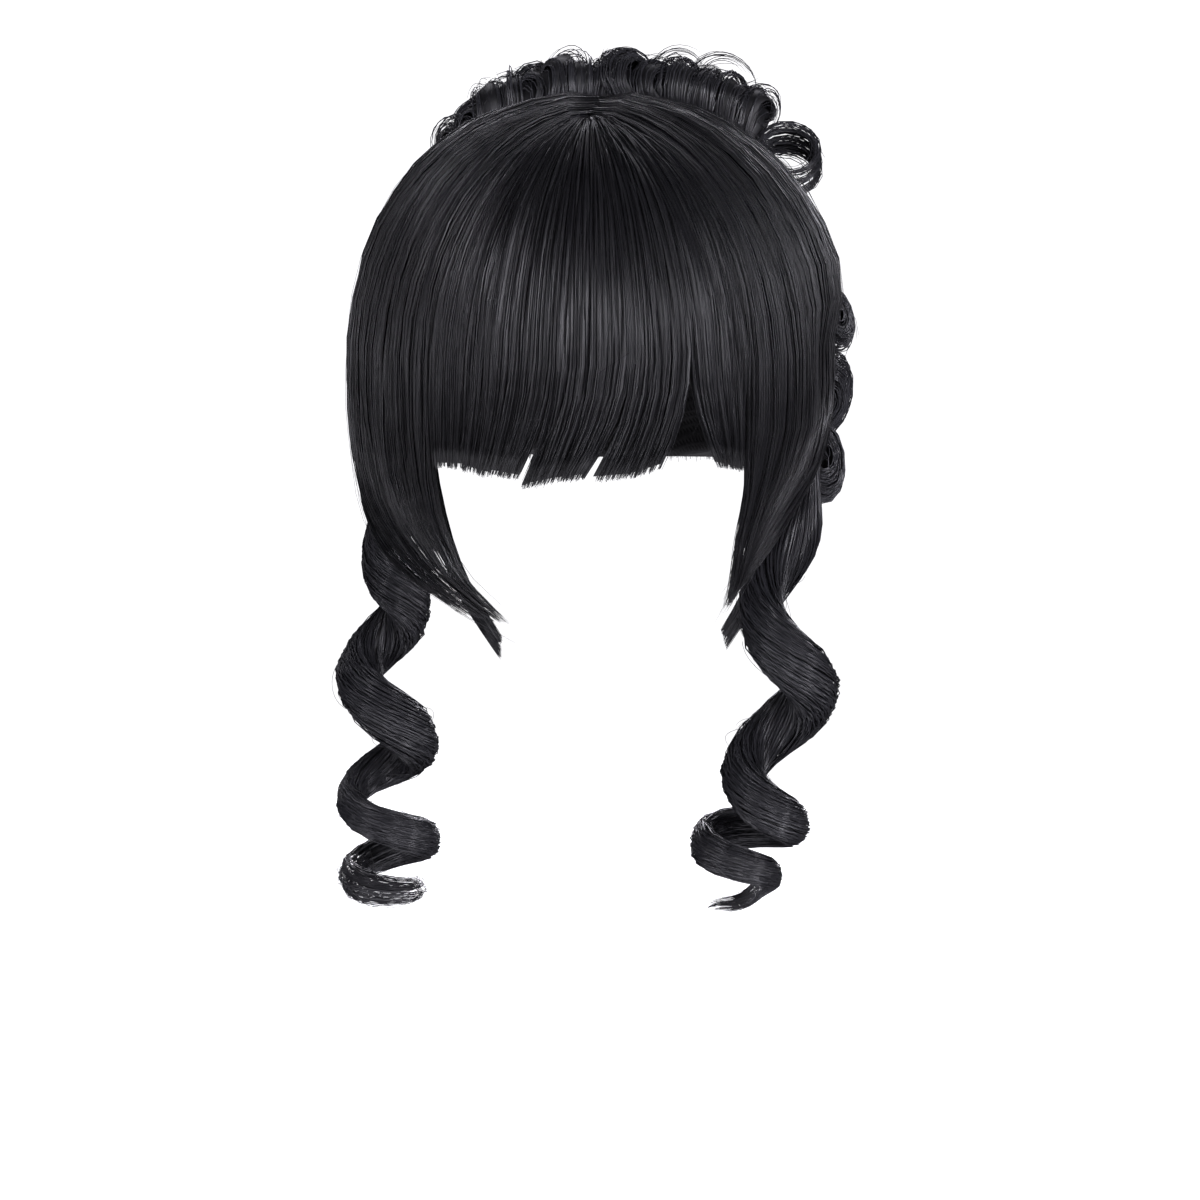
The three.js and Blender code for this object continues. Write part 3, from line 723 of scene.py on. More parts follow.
class WIG_OT_make_fringe(bpy.types.Operator):
    """Makes the blunt fringe that fans from the front of the parting"""

    bl_idname = "wig.make_fringe"
    bl_label = "Make fringe"

    SEED = 11
    STRANDS_A_DEGREE = 23
    STEPS = 18
    APEX = PART_FRONT - 0.008
    # Depth and reach of the dip at the roots, and the shares of the way where strands start
    ROOT_DIP = (2.6, 0.11)
    STARTS = (0.02, 0.09)
    UNDER_COLUMNS = 10
    UNDER_DEPTH = 2.6
    UNDER_THICKNESS = 1.5
    UNDER_SHORTENING = 1.3
    UNDER_START = 0.06
    # Strands to a lock and to a tuft, the fewest of each, and how far tufts gather
    LOCK_STRANDS = 45
    FEWEST_LOCKS = 3
    TUFT_STRANDS = 13
    FEWEST_TUFTS = 6
    GATHER = 0.4
    # Heights of locks and tufts in shares of the lock relief, and the depth of the layer
    HEIGHTS = (0.8, 0.5)
    DEPTH = 1.3
    # Unevenness of the cut, and the strands that end aside or short: their share and spread
    RAGGED = 0.55
    ENDS_ASIDE = (0.12, 0.35)
    ENDS_SHORT = (0.12, 4.0)
    WIDTHS = (0.75, 1.25)
    # Painted highlight on the roots at the parting: the tone that it adds, its unevenness and its
    # reach
    ROOT_HIGHLIGHT = 5.0
    ROOT_HIGHLIGHTS = (0.2, 1.0)
    ROOT_HIGHLIGHT_REACH = 0.055
    TIP = 0.25
    THINNING = 8
    # Loose hairs: their sweep, the levels and shares where they end and start, and their lift
    # and rise off the fringe, with the place and reach of the rise
    STRAYS = 22
    STRAY_SWEEP = 7.0
    STRAY_LEVELS = (-125.0, -60.0)
    STRAY_STARTS = (0.05, 0.5)
    STRAY_LIFT = 0.6
    STRAY_RISE = 1.2
    STRAY_BUMP = (0.3, 1.0, 0.2)
    STRAY_WANDER = 0.3

    def lines(self, leaving, ending, level, lift, start):
        """Strands that leave the crown at angles and sweep to others at their ends."""
        root = (0.0, self.APEX)
        leaving, ending, start = leaving[:, None], ending[:, None], start[:, None]
        p, q, drop = fall(*root, leaving, level, self.STEPS, start)
        z = dome(HAIR_SURFACE, p, q, drop)[..., 2]
        swept = np.clip((SWEEP_START_Z - z) / (SWEEP_START_Z - level[:, None]), 0.0, 1.0) ** 2
        p, q, drop = fall(*root, mix(leaving, ending, swept), level, self.STEPS, start)
        return dome(HAIR_SURFACE, p, q, drop, lift + root_dip(p, q, *root, *self.ROOT_DIP))

    def add_under_layer(self, hair, leaving, ending, level):
        """The dense sheet under a lock of the fringe."""
        share = np.linspace(0.0, 1.0, self.UNDER_COLUMNS)
        levels = mix(*level, share) + self.UNDER_SHORTENING
        start = np.full(len(share), self.UNDER_START)
        hair.wall(*[
            self.lines(mix(*leaving, share), mix(*ending, share), levels,
                       -self.UNDER_DEPTH - inset, start)
            for inset in (0.0, self.UNDER_THICKNESS)])

    def add_lock(self, hair, leaving, ending, level, fibre, rng):
        """The strands of a lock of the fringe, in tufts."""
        n = round((leaving[1] - leaving[0]) * self.STRANDS_A_DEGREE)
        share = rng.uniform(0.0, 1.0, n)
        locks = max(round(n / self.LOCK_STRANDS), self.FEWEST_LOCKS)
        tufts = max(round(n / self.TUFT_STRANDS), self.FEWEST_TUFTS)
        relief, _, _ = lock_relief(share, locks, rng)
        fine, middle, tuft = lock_relief(share, tufts, rng)
        some, spread = self.ENDS_ASIDE
        aside = rng.normal(0.0, spread, n) * (rng.uniform(0.0, 1.0, n) < some)
        ends = mix(*ending, mix(share, middle, self.GATHER)) + aside
        levels = mix(*level, share) + rng.normal(0.0, self.RAGGED, n)
        some, spread = self.ENDS_SHORT
        levels += np.abs(rng.normal(0.0, spread, n)) * (rng.uniform(0.0, 1.0, n) < some)
        step = fibre.lock_relief / MM
        lift = layer_lift(rng, relief, fine, self.HEIGHTS, self.DEPTH, step)
        start = rng.uniform(*self.STARTS, n)
        lift = stirred(rng, lift, tuft, self.STEPS)
        lines = self.lines(mix(*leaving, share), ends, levels, lift, start)
        widths = fibre.strand_width / MM * rng.uniform(*self.WIDTHS, n)
        tones = lock_tones(rng, fine, LAYER_TONE)
        way = np.linspace(0.0, 1.0, self.STEPS)
        # Painted highlight: lighter tone on the roots, fading along the strands away from the
        # parting
        roots = self.ROOT_HIGHLIGHT * rng.uniform(*self.ROOT_HIGHLIGHTS, n)
        tones = tones[:, None] + roots[:, None] * np.exp(-(way / self.ROOT_HIGHLIGHT_REACH) ** 2)
        hair.strands(lines, widths, outward(HAIR_SURFACE, lines), rng, self.TIP, self.THINNING,
                     tones)

    def add_strays(self, hair, fibre, rng):
        """Loose hairs that lie across the fringe."""
        n = self.STRAYS
        leaving = rng.uniform(FRINGE_LOCKS[0][0][0], FRINGE_LOCKS[-1][0][1], n)
        ending = leaving + rng.normal(0.0, self.STRAY_SWEEP, n)
        level = rng.uniform(*self.STRAY_LEVELS, n)
        lift = self.STRAY_LIFT + self.STRAY_RISE * bump(rng, n, self.STEPS, *self.STRAY_BUMP)
        lift = lift + wander(rng, n, self.STEPS, self.STRAY_WANDER)
        lines = self.lines(leaving, ending, level, lift, rng.uniform(*self.STRAY_STARTS, n))
        widths = np.full(n, fibre.stray_width / MM)
        hair.strands(lines, widths, outward(HAIR_SURFACE, lines), rng)

    def execute(self, context):
        fibre = context.scene.wig_fibre
        rng = np.random.default_rng(self.SEED)
        hair = Hair()
        for leaving, ending, level in FRINGE_LOCKS:
            self.add_under_layer(hair, leaving, ending, level)
            self.add_lock(hair, leaving, ending, level, fibre, rng)
        self.add_strays(hair, fibre, rng)
        piece = hair.make("fringe", fibre_material(fibre))
        settle(piece, "fibre", "bangs")
        return {"FINISHED"}


class WIG_OT_make_crown(bpy.types.Operator):
    """Makes both crown halves, with the side locks that they run down into"""

    bl_idname = "wig.make_crown"
    bl_label = "Make crown"

    SEED = 21
    STRANDS = 1050
    DOME_STEPS = 14
    LOCK_STEPS = 8
    STEPS = DOME_STEPS + LOCK_STEPS
    CORNER_GAP = 0.3
    # Depth and reach of the dip at the roots, their place beside the parting, and how far some
    # cross it
    ROOT_DIP = (2.2, 0.07)
    ROOT_GAP = 0.006
    ROOT_CROSSING = 0.026
    UNDER_COLUMNS = 40
    UNDER_DEPTH = 3.4
    UNDER_THICKNESS = 1.5
    UNDER_FIRST = 0.02
    UNDER_REACH = 0.62
    UNDER_TAPER = 0.2
    UNDER_GATHER = 0.5
    # Numbers of locks and tufts, how far tufts gather in the side lock, heights of locks and
    # tufts in shares of the lock relief, and the depth of the layer
    LOCKS = 26
    TUFTS = 90
    GATHER = 0.6
    HEIGHTS = (0.9, 0.5)
    DEPTH = 1.5
    # Unevenness of the ends, and how much earlier strands end at the back of a side lock and,
    # by chance, at its front edge
    RAGGED = 0.06
    TAPER_REACH = {"right": 0.06, "left": 0.2}
    FEATHER_REACH = {"right": 0.05, "left": 0.22}
    FEATHER_SHARPNESS = 4
    WIDTHS = (0.85, 1.4)
    TIP = 0.12
    THINNING = 3
    BACK_END_Z = -151.0
    BACK_ROLL = 6.0
    # How far each half and its back edge are drawn in under the curls, with the levels and the
    # shares between which that grows, and the most that both may take
    TUCK = {"right": 0.0, "left": 7.5}
    TUCK_LEVELS = (-62.0, -92.0)
    TUCK_SHARES = (0.2, 0.55)
    BACK_EDGE_TUCK = 6.0
    BACK_EDGE_LEVELS = (-5.0, -60.0)
    BACK_EDGE_SHARES = (0.84, 1.0)
    FULLEST_TUCK = 7.5
    # Thin hairs at the end of a side lock: their lift, reach, width shares and drift
    WISPS = 26
    WISP_LIFT = -1.5
    WISP_WANDER = 0.5
    WISP_REACHES = (0.75, 1.04)
    WISP_WIDTHS = (1.0, 1.9)
    WISP_DRIFT = (1.6, 1.6, 2.2)
    # Loose hairs: their lift, their rises with their place and reach, where they end, and how
    # they wander off and along the surface
    STRAYS = 22
    STRAY_LIFT = 0.4
    STRAY_RISES = (0.6, 2.0)
    STRAY_BUMP = (0.2, 1.0, 0.1)
    STRAY_REACHES = (0.2, 1.06)
    STRAY_WANDER = 0.2
    STRAY_DRIFT = 1.2
    STRAY_DRIFT_WAY = (0.3, 1.0, 0.3)

    def lines(self, name, share, lift, reach, root_p, gather=None):
        """Strands at shares of the way from the fringe to the back, down to shares of the way
        to their ends. In the side lock they gather towards other shares."""
        side = SIDES[name]
        root = (root_p[:, None], mix(PART_FRONT, PART_BACK, share)[:, None])
        angle = mix(CORNER_ANGLE[name] + self.CORNER_GAP, CROWN_BACK_ANGLE, share)[:, None]
        front_turn, front_z, back_turn, back_z, out_share = np.array(SIDELOCKS[name]).T
        lock_top = front_z[0]
        p, q, drop = fall(*root, side * angle, np.full(len(share), lock_top), self.DOME_STEPS)
        height = dome(HAIR_SURFACE, p, q, drop)[..., 2]
        tuck = self.TUCK[name] * ease(share, *self.TUCK_SHARES)[:, None]
        edge = self.BACK_EDGE_TUCK * ease(share, *self.BACK_EDGE_SHARES)[:, None]
        edge = np.minimum(edge, self.FULLEST_TUCK - tuck)
        drawn_in = tuck * ease(height, *self.TUCK_LEVELS)
        drawn_in = drawn_in + edge * ease(height, *self.BACK_EDGE_LEVELS)
        dip = root_dip(p, q, *root, *self.ROOT_DIP)
        upper = dome(HAIR_SURFACE, p, q, drop, lift[:, :self.DOME_STEPS] + dip - drawn_in)
        lift = lift[:, self.DOME_STEPS:] - tuck - edge
        down = np.linspace(0.0, 1.0, self.LOCK_STEPS + 1)[None, 1:] * reach[:, None]
        level = down * (len(front_z) - 1)
        gather = share if gather is None else gather
        across = mix(share[:, None], gather[:, None], self.GATHER * ease(down))
        across = np.clip(across / SIDELOCK_SHARE, 0.0, 1.0)
        turn = np.radians(mix(through(front_turn, level), through(back_turn, level), across))
        z = mix(through(front_z, level), through(back_z, level), across)
        out = through(out_share, level)
        width, depth, _ = HAIR_SURFACE
        lower = np.stack((
            side * (width * out + lift) * np.sin(turn),
            -(depth * out + lift) * np.cos(turn), z), axis=-1)
        behind = share > SIDELOCK_SHARE
        hang = EQUATOR_Z - lock_top + down * (lock_top - self.BACK_END_Z)
        back = dome(
            HAIR_SURFACE, side * np.sin(np.radians(angle)), -np.cos(np.radians(angle)), hang,
            lift - self.BACK_ROLL * down**2)
        lower[behind] = back[behind]
        return np.concatenate((upper, lower), axis=1)

    def add_under_layer(self, hair, name):
        """The dense sheet under a crown half and the top of its side lock."""
        share = np.linspace(0.0, 1.0, self.UNDER_COLUMNS)
        across = np.clip(share / SIDELOCK_SHARE, 0.0, 1.0)
        flat = np.zeros((len(share), self.STEPS))
        root_p = np.full(len(share), self.ROOT_GAP * SIDES[name])
        gather = mix(share, SIDELOCK_SHARE / 2, self.UNDER_GATHER)
        hair.wall(*[
            self.lines(name, np.maximum(share, self.UNDER_FIRST), flat - self.UNDER_DEPTH - inset,
                       self.UNDER_REACH - self.UNDER_TAPER * across, root_p, gather)
            for inset in (0.0, self.UNDER_THICKNESS)])

    def add_layer(self, hair, name, fibre, rng):
        """The strands of a crown half and its side lock, in tufts."""
        n = self.STRANDS
        share = rng.uniform(0.0, 1.0, n)
        relief, _, _ = lock_relief(share, self.LOCKS, rng)
        fine, gather, tuft = lock_relief(share, self.TUFTS, rng)
        step = fibre.lock_relief / MM
        lift = layer_lift(rng, relief, fine, self.HEIGHTS, self.DEPTH, step)
        lift = stirred(rng, lift, tuft, self.STEPS)
        across = np.clip(share / SIDELOCK_SHARE, 0.0, 1.0)
        reach = 1.0 - self.TAPER_REACH[name] * across - np.abs(rng.normal(0.0, self.RAGGED, n))
        feather = self.FEATHER_REACH[name] * rng.uniform(0.0, 1.0, n)
        reach = reach - feather * (1.0 - across) ** self.FEATHER_SHARPNESS
        crossing = self.ROOT_CROSSING * rng.uniform(0.0, 1.0, n) ** 2
        root_p = SIDES[name] * (self.ROOT_GAP - crossing)
        lines = self.lines(name, share, lift, reach, root_p, gather)
        widths = fibre.strand_width / MM * rng.uniform(*self.WIDTHS, n)
        tones = lock_tones(rng, fine, LAYER_TONE)
        hair.strands(lines, widths, outward(HAIR_SURFACE, lines), rng, self.TIP, self.THINNING,
                     tones)

    def add_wisps(self, hair, name, fibre, rng):
        """Thin hairs that feather the end of the side lock."""
        n = self.WISPS
        share = rng.uniform(0.0, SIDELOCK_SHARE, n)
        lift = self.WISP_LIFT + wander(rng, n, self.STEPS, self.WISP_WANDER)
        lines = self.lines(name, share, lift, rng.uniform(*self.WISP_REACHES, n), np.zeros(n))
        lines = lines[:, self.DOME_STEPS - 2:]
        drift = np.linspace(0.0, 1.0, lines.shape[1])[None, :, None] ** 2
        lines = lines + drift * rng.normal(0.0, 1.0, (n, 1, 3)) * np.array(self.WISP_DRIFT)
        widths = fibre.stray_width / MM * rng.uniform(*self.WISP_WIDTHS, n)
        hair.strands(lines, widths, outward(HAIR_SURFACE, lines), rng)

    def add_strays(self, hair, name, fibre, rng):
        """Loose hairs that stand off the crown and the side lock."""
        n = self.STRAYS
        rises = rng.uniform(*self.STRAY_RISES, (n, 1))
        lift = rises * bump(rng, n, self.STEPS, *self.STRAY_BUMP)
        lift = lift + self.STRAY_LIFT + wander(rng, n, self.STEPS, self.STRAY_WANDER)
        share = rng.uniform(0.0, 1.0, n)
        lines = self.lines(name, share, lift, rng.uniform(*self.STRAY_REACHES, n), np.zeros(n))
        drift = wander(rng, n, self.STEPS, self.STRAY_DRIFT)[..., None]
        lines = lines + drift * np.array(self.STRAY_DRIFT_WAY)
        widths = np.full(n, fibre.stray_width / MM)
        hair.strands(lines, widths, outward(HAIR_SURFACE, lines), rng)

    def execute(self, context):
        fibre = context.scene.wig_fibre
        for seed, name in enumerate(SIDES, self.SEED):
            rng = np.random.default_rng(seed)
            hair = Hair()
            self.add_under_layer(hair, name)
            self.add_layer(hair, name, fibre, rng)
            self.add_wisps(hair, name, fibre, rng)
            self.add_strays(hair, name, fibre, rng)
            piece = hair.make(f"crown_{name}", fibre_material(fibre))
            settle(piece, "fibre", f"side_hair_{name}", f"sidelock_{name}")
        return {"FINISHED"}


class WIG_OT_make_back(bpy.types.Operator):
    """Makes the smooth hair under the curls, down to the nape"""

    bl_idname = "wig.make_back"
    bl_label = "Make back"

    SEED = 31
    STRANDS = 560
    STEPS = 12
    LOCKS = 34
    SIDE_END_Z = -144.0
    NAPE_END_Z = -151.0
    FIRST_ANGLE = CROWN_BACK_ANGLE + 1.0
    START = 0.02
    UNDER_COLUMNS = 40
    UNDER_DEPTH = 2.4
    UNDER_THICKNESS = 1.5
    UNDER_SHORTENING = 1.2
    LOCK_HEIGHT = 0.8
    DEPTH = 1.6
    RAGGED = 0.7
    WIDTHS = (0.9, 1.4)

    def lines(self, share, lift, cut):
        """Strands at shares of the way from the right round to the left, and their cut ends."""
        angle = mix(self.FIRST_ANGLE, 360.0 - self.FIRST_ANGLE, share)[:, None]
        end = mix(self.SIDE_END_Z, self.NAPE_END_Z, np.sin(share * math.pi)) + cut
        p, q, drop = fall(0.0, PART_BACK + BACK_SEAM, angle, end, self.STEPS, self.START)
        return dome(BACK_SURFACE, p, q, drop, lift[:, None])

    def execute(self, context):
        fibre = context.scene.wig_fibre
        rng = np.random.default_rng(self.SEED)
        hair = Hair()
        under = np.linspace(0.0, 1.0, self.UNDER_COLUMNS)
        flat = np.zeros(len(under))
        hair.wall(*[
            self.lines(under, flat - self.UNDER_DEPTH - inset, flat + self.UNDER_SHORTENING)
            for inset in (0.0, self.UNDER_THICKNESS)])
        n = self.STRANDS
        share = rng.uniform(0.0, 1.0, n)
        relief, _, _ = lock_relief(share, self.LOCKS, rng)
        lift = relief * self.LOCK_HEIGHT - self.LOCK_HEIGHT - rng.uniform(0.0, self.DEPTH, n)
        lines = self.lines(share, lift, rng.normal(0.0, self.RAGGED, n))
        widths = fibre.strand_width / MM * rng.uniform(*self.WIDTHS, n)
        hair.strands(lines, widths, outward(BACK_SURFACE, lines), rng)
        piece = hair.make("back", fibre_material(fibre))
        settle(piece, "fibre", "back_hair")
        return {"FINISHED"}


class WIG_OT_make_nape_locks(bpy.types.Operator):
    """Makes the short straight locks beside the neck"""

    bl_idname = "wig.make_nape_locks"
    bl_label = "Make nape locks"

    SEED = 41
    STRANDS = 120
    STEPS = 13
    CORE_STEPS = 12
    CORE_SIDES = 8
    CORE_SHARE = 0.6
    CORE_END = 0.95
    FACING_DEGREES = 70.0
    REACHES = (0.6, 1.0)
    CUT_SLANT = 0.24
    RAGGED = 0.03
    WIDTHS = (0.8, 1.2)

    def path(self, name, level):
        """The middle of a lock at levels from its root to its tip."""
        points = np.array((*NAPE_LOCK_PATH, NAPE_LOCK_TIPS[name]))
        x, y, z = (through(column, level) for column in points.T)
        return np.stack((SIDES[name] * x, y, z), axis=-1)

    def lines(self, name, level, across, out):
        """Strands across the lock and out from its middle, both from -1 to 1."""
        share = level / len(NAPE_LOCK_PATH)
        along = self.path(name, level + LEVEL_NUDGE) - self.path(name, level - LEVEL_NUDGE)
        along = unit(along)
        backway = unit(np.array((0.0, 1.0, 0.0)) - along * along[..., 1:2])
        sideway = np.cross(along, backway)
        turn = SIDES[name] * np.radians(self.FACING_DEGREES * ease(share))[..., None]
        widthway = backway * np.cos(turn) + sideway * np.sin(turn)
        thickway = np.cross(along, widthway)
        width = mix(*NAPE_LOCK_WIDTHS, share) / 2
        return (self.path(name, level) + widthway * (width * across)[..., None]
                + thickway * (NAPE_LOCK_THICKNESS / 2 * out)[..., None]), thickway

    def execute(self, context):
        fibre = context.scene.wig_fibre
        last = len(NAPE_LOCK_PATH)
        for seed, name in enumerate(SIDES, self.SEED):
            rng = np.random.default_rng(seed)
            hair = Hair()
            level = np.linspace(0.0, last * self.CORE_END, self.CORE_STEPS)
            add_core(hair, self.lines, name, level, self.CORE_SIDES, self.CORE_SHARE)
            n = self.STRANDS
            turn = rng.uniform(0.0, 2 * math.pi, n)[:, None]
            reach = rng.uniform(*self.REACHES, (n, 1))
            ends = last - self.CUT_SLANT * (1 - np.cos(turn) * reach) / 2
            ends = ends - np.abs(rng.normal(0.0, self.RAGGED, (n, 1)))
            level = np.linspace(0.0, 1.0, self.STEPS)[None, :] * ends
            lines, out = self.lines(name, level, np.cos(turn) * reach, np.sin(turn) * reach)
            widths = fibre.strand_width / MM * rng.uniform(*self.WIDTHS, n)
            hair.strands(lines, widths, out, rng)
            piece = hair.make(f"nape_strands_{name}", fibre_material(fibre))
            settle(piece, "fibre", f"nape_lock_{name}")
        return {"FINISHED"}


class WIG_OT_make_ringlets(bpy.types.Operator):
    """Makes the two hanging spiral ringlets"""

    bl_idname = "wig.make_ringlets"
    bl_label = "Make ringlets"

    SEED = 51
    STRANDS = 276
    STEPS = 47
    START = 0.02
    CORE_STEPS = 80
    CORE_SIDES = 10
    CORE_SHARE = 0.74
    CORE_START = 0.05
    CORE_END = {"right": 7.7, "left": 8.3}
    LOCKS = 22
    TWIST = 0.25
    TURN_WANDER = 0.07
    # Reach of strands from the middle of the lock, what locks add and what depth takes away
    REACH = (0.84, 0.14, 0.14)
    REACH_WANDER = 0.02
    # Levels between which a tail flares, its flare, the level where most strands end, and the
    # spread of their ends
    TAILS = {
        "right": (7.4, 9.0, 0.42, 9.1, 0.4),
        "left": (8.4, 10.0, 0.7, 9.5, 0.6),
    }
    LOCK_FLARE = 0.8
    STRAND_FLARE = 0.6
    MOST_SHORTENING = 2.0
    LONG_STRANDS = 0.35
    WIDTHS = (0.7, 1.2)
    # Painted light: tone added to every strand of a ringlet, so that the fibre shows lighter than
    # it is
    PAINTED_LIGHT = 2.7
    TIP = 0.2
    THINNING = 4
    # Loose hairs: the levels where they start, their lengths in levels, their turn, and how far
    # they stand off above and at the tail, with the levels between
    STRAYS = 30
    STRAY_STEPS = 24
    STRAY_LEVELS = (2.2, 8.8)
    STRAY_LENGTHS = (0.2, 0.7)
    STRAY_TURN = 1.4
    STRAY_LIFT = 0.04
    STRAY_RISES = (0.14, 0.9)
    STRAY_RISE_LEVELS = (6.0, 8.5)

    def middle(self, rows, level):
        """The middle of the lock, which winds round its axis."""
        turn, z, x, y, radius = (through(column, level) for column in rows.T[:5])
        turn = np.radians(turn)
        return np.stack((x + radius * np.cos(turn), y + radius * np.sin(turn), z), axis=-1)

    def lines(self, rows, level, across, out):
        """Strands across the lock and out from its winding, both from -1 to 1."""
        turn = np.radians(through(rows[:, 0], level))
        width, thickness = (through(column, level) / 2 for column in rows.T[5:])
        thickway = np.stack((np.cos(turn), np.sin(turn), 0.0 * turn), axis=-1)
        along = self.middle(rows, level + LEVEL_NUDGE) - self.middle(rows, level - LEVEL_NUDGE)
        widthway = unit(np.cross(thickway, unit(along)))
        points = (self.middle(rows, level) + widthway * (width * across)[..., None]
                  + thickway * (thickness * out)[..., None])
        return points, unit(widthway * across[..., None] + thickway * out[..., None])

    def add_lock(self, hair, name, rows, fibre, rng):
        """The strands of a ringlet, which flare out in the tail."""
        n = self.STRANDS
        last = len(rows) - 1
        share = rng.uniform(0.0, 1.0, n)
        relief, _, tuft = lock_relief(share, self.LOCKS, rng)
        flare_start, flare_end, flare, end, spread = self.TAILS[name]
        ends = end - np.minimum(np.abs(rng.normal(0.0, spread, n)), self.MOST_SHORTENING)
        long = rng.uniform(0.0, 1.0, n) < self.LONG_STRANDS
        ends = np.where(long, end + (last - end) * rng.uniform(0.0, 1.0, n), ends)
        level = np.linspace(self.START, 1.0, self.STEPS)[None, :] * ends[:, None]
        turn = share[:, None] * 2 * math.pi + self.TWIST * level
        turn = turn + wander(rng, n, self.STEPS, self.TURN_WANDER)
        inside, by_lock, by_depth = self.REACH
        reach = inside + by_lock * relief - by_depth * rng.uniform(0.0, 1.0, n) ** 2
        reach = reach[:, None] + wander(rng, n, self.STEPS, self.REACH_WANDER)
        flares = rng.normal(0.0, self.LOCK_FLARE, self.LOCKS)[tuft]
        flares = flare * (flares + rng.normal(0.0, self.STRAND_FLARE, n))
        reach = reach + flares[:, None] * ease(level, flare_start, flare_end)
        lines, out = self.lines(rows, level, np.cos(turn) * reach, np.sin(turn) * reach)
        widths = fibre.strand_width / MM * rng.uniform(*self.WIDTHS, n)
        tones = lock_tones(rng, relief, ROLL_TONE, self.PAINTED_LIGHT)
        hair.strands(lines, widths, out, rng, self.TIP, self.THINNING, tones)

    def add_strays(self, hair, rows, fibre, rng):
        """Loose hairs that lie across the turns, and stand off near the tail."""
        n = self.STRAYS
        first = rng.uniform(*self.STRAY_LEVELS, n)[:, None]
        way = np.linspace(0.0, 1.0, self.STRAY_STEPS)[None, :]
        level = first + way * rng.uniform(*self.STRAY_LENGTHS, (n, 1))
        level = np.minimum(level, len(rows) - 1.0)
        turn = rng.uniform(0.0, 2 * math.pi, (n, 1))
        turn = turn + way * rng.normal(0.0, self.STRAY_TURN, (n, 1))
        far = mix(*self.STRAY_RISES, ease(first, *self.STRAY_RISE_LEVELS))
        off = np.sin(way * math.pi) * rng.uniform(0.0, 1.0, (n, 1)) * far
        reach = 1 + (self.STRAY_LIFT + off)
        lines, out = self.lines(rows, level, np.cos(turn) * reach, np.sin(turn) * reach)
        hair.strands(lines, np.full(n, fibre.stray_width / MM), out, rng)

    def execute(self, context):
        fibre = context.scene.wig_fibre
        for seed, name in enumerate(SIDES, self.SEED):
            rng = np.random.default_rng(seed)
            rows = np.array(RINGLETS[name])
            hair = Hair()
            level = np.linspace(self.CORE_START, self.CORE_END[name], self.CORE_STEPS)
            add_core(hair, self.lines, rows, level, self.CORE_SIDES, self.CORE_SHARE)
            self.add_lock(hair, name, rows, fibre, rng)
            self.add_strays(hair, rows, fibre, rng)
            piece = hair.make(f"ringlet_strands_{name}", fibre_material(fibre))
            settle(piece, "fibre", f"ringlet_{name}")
        return {"FINISHED"}


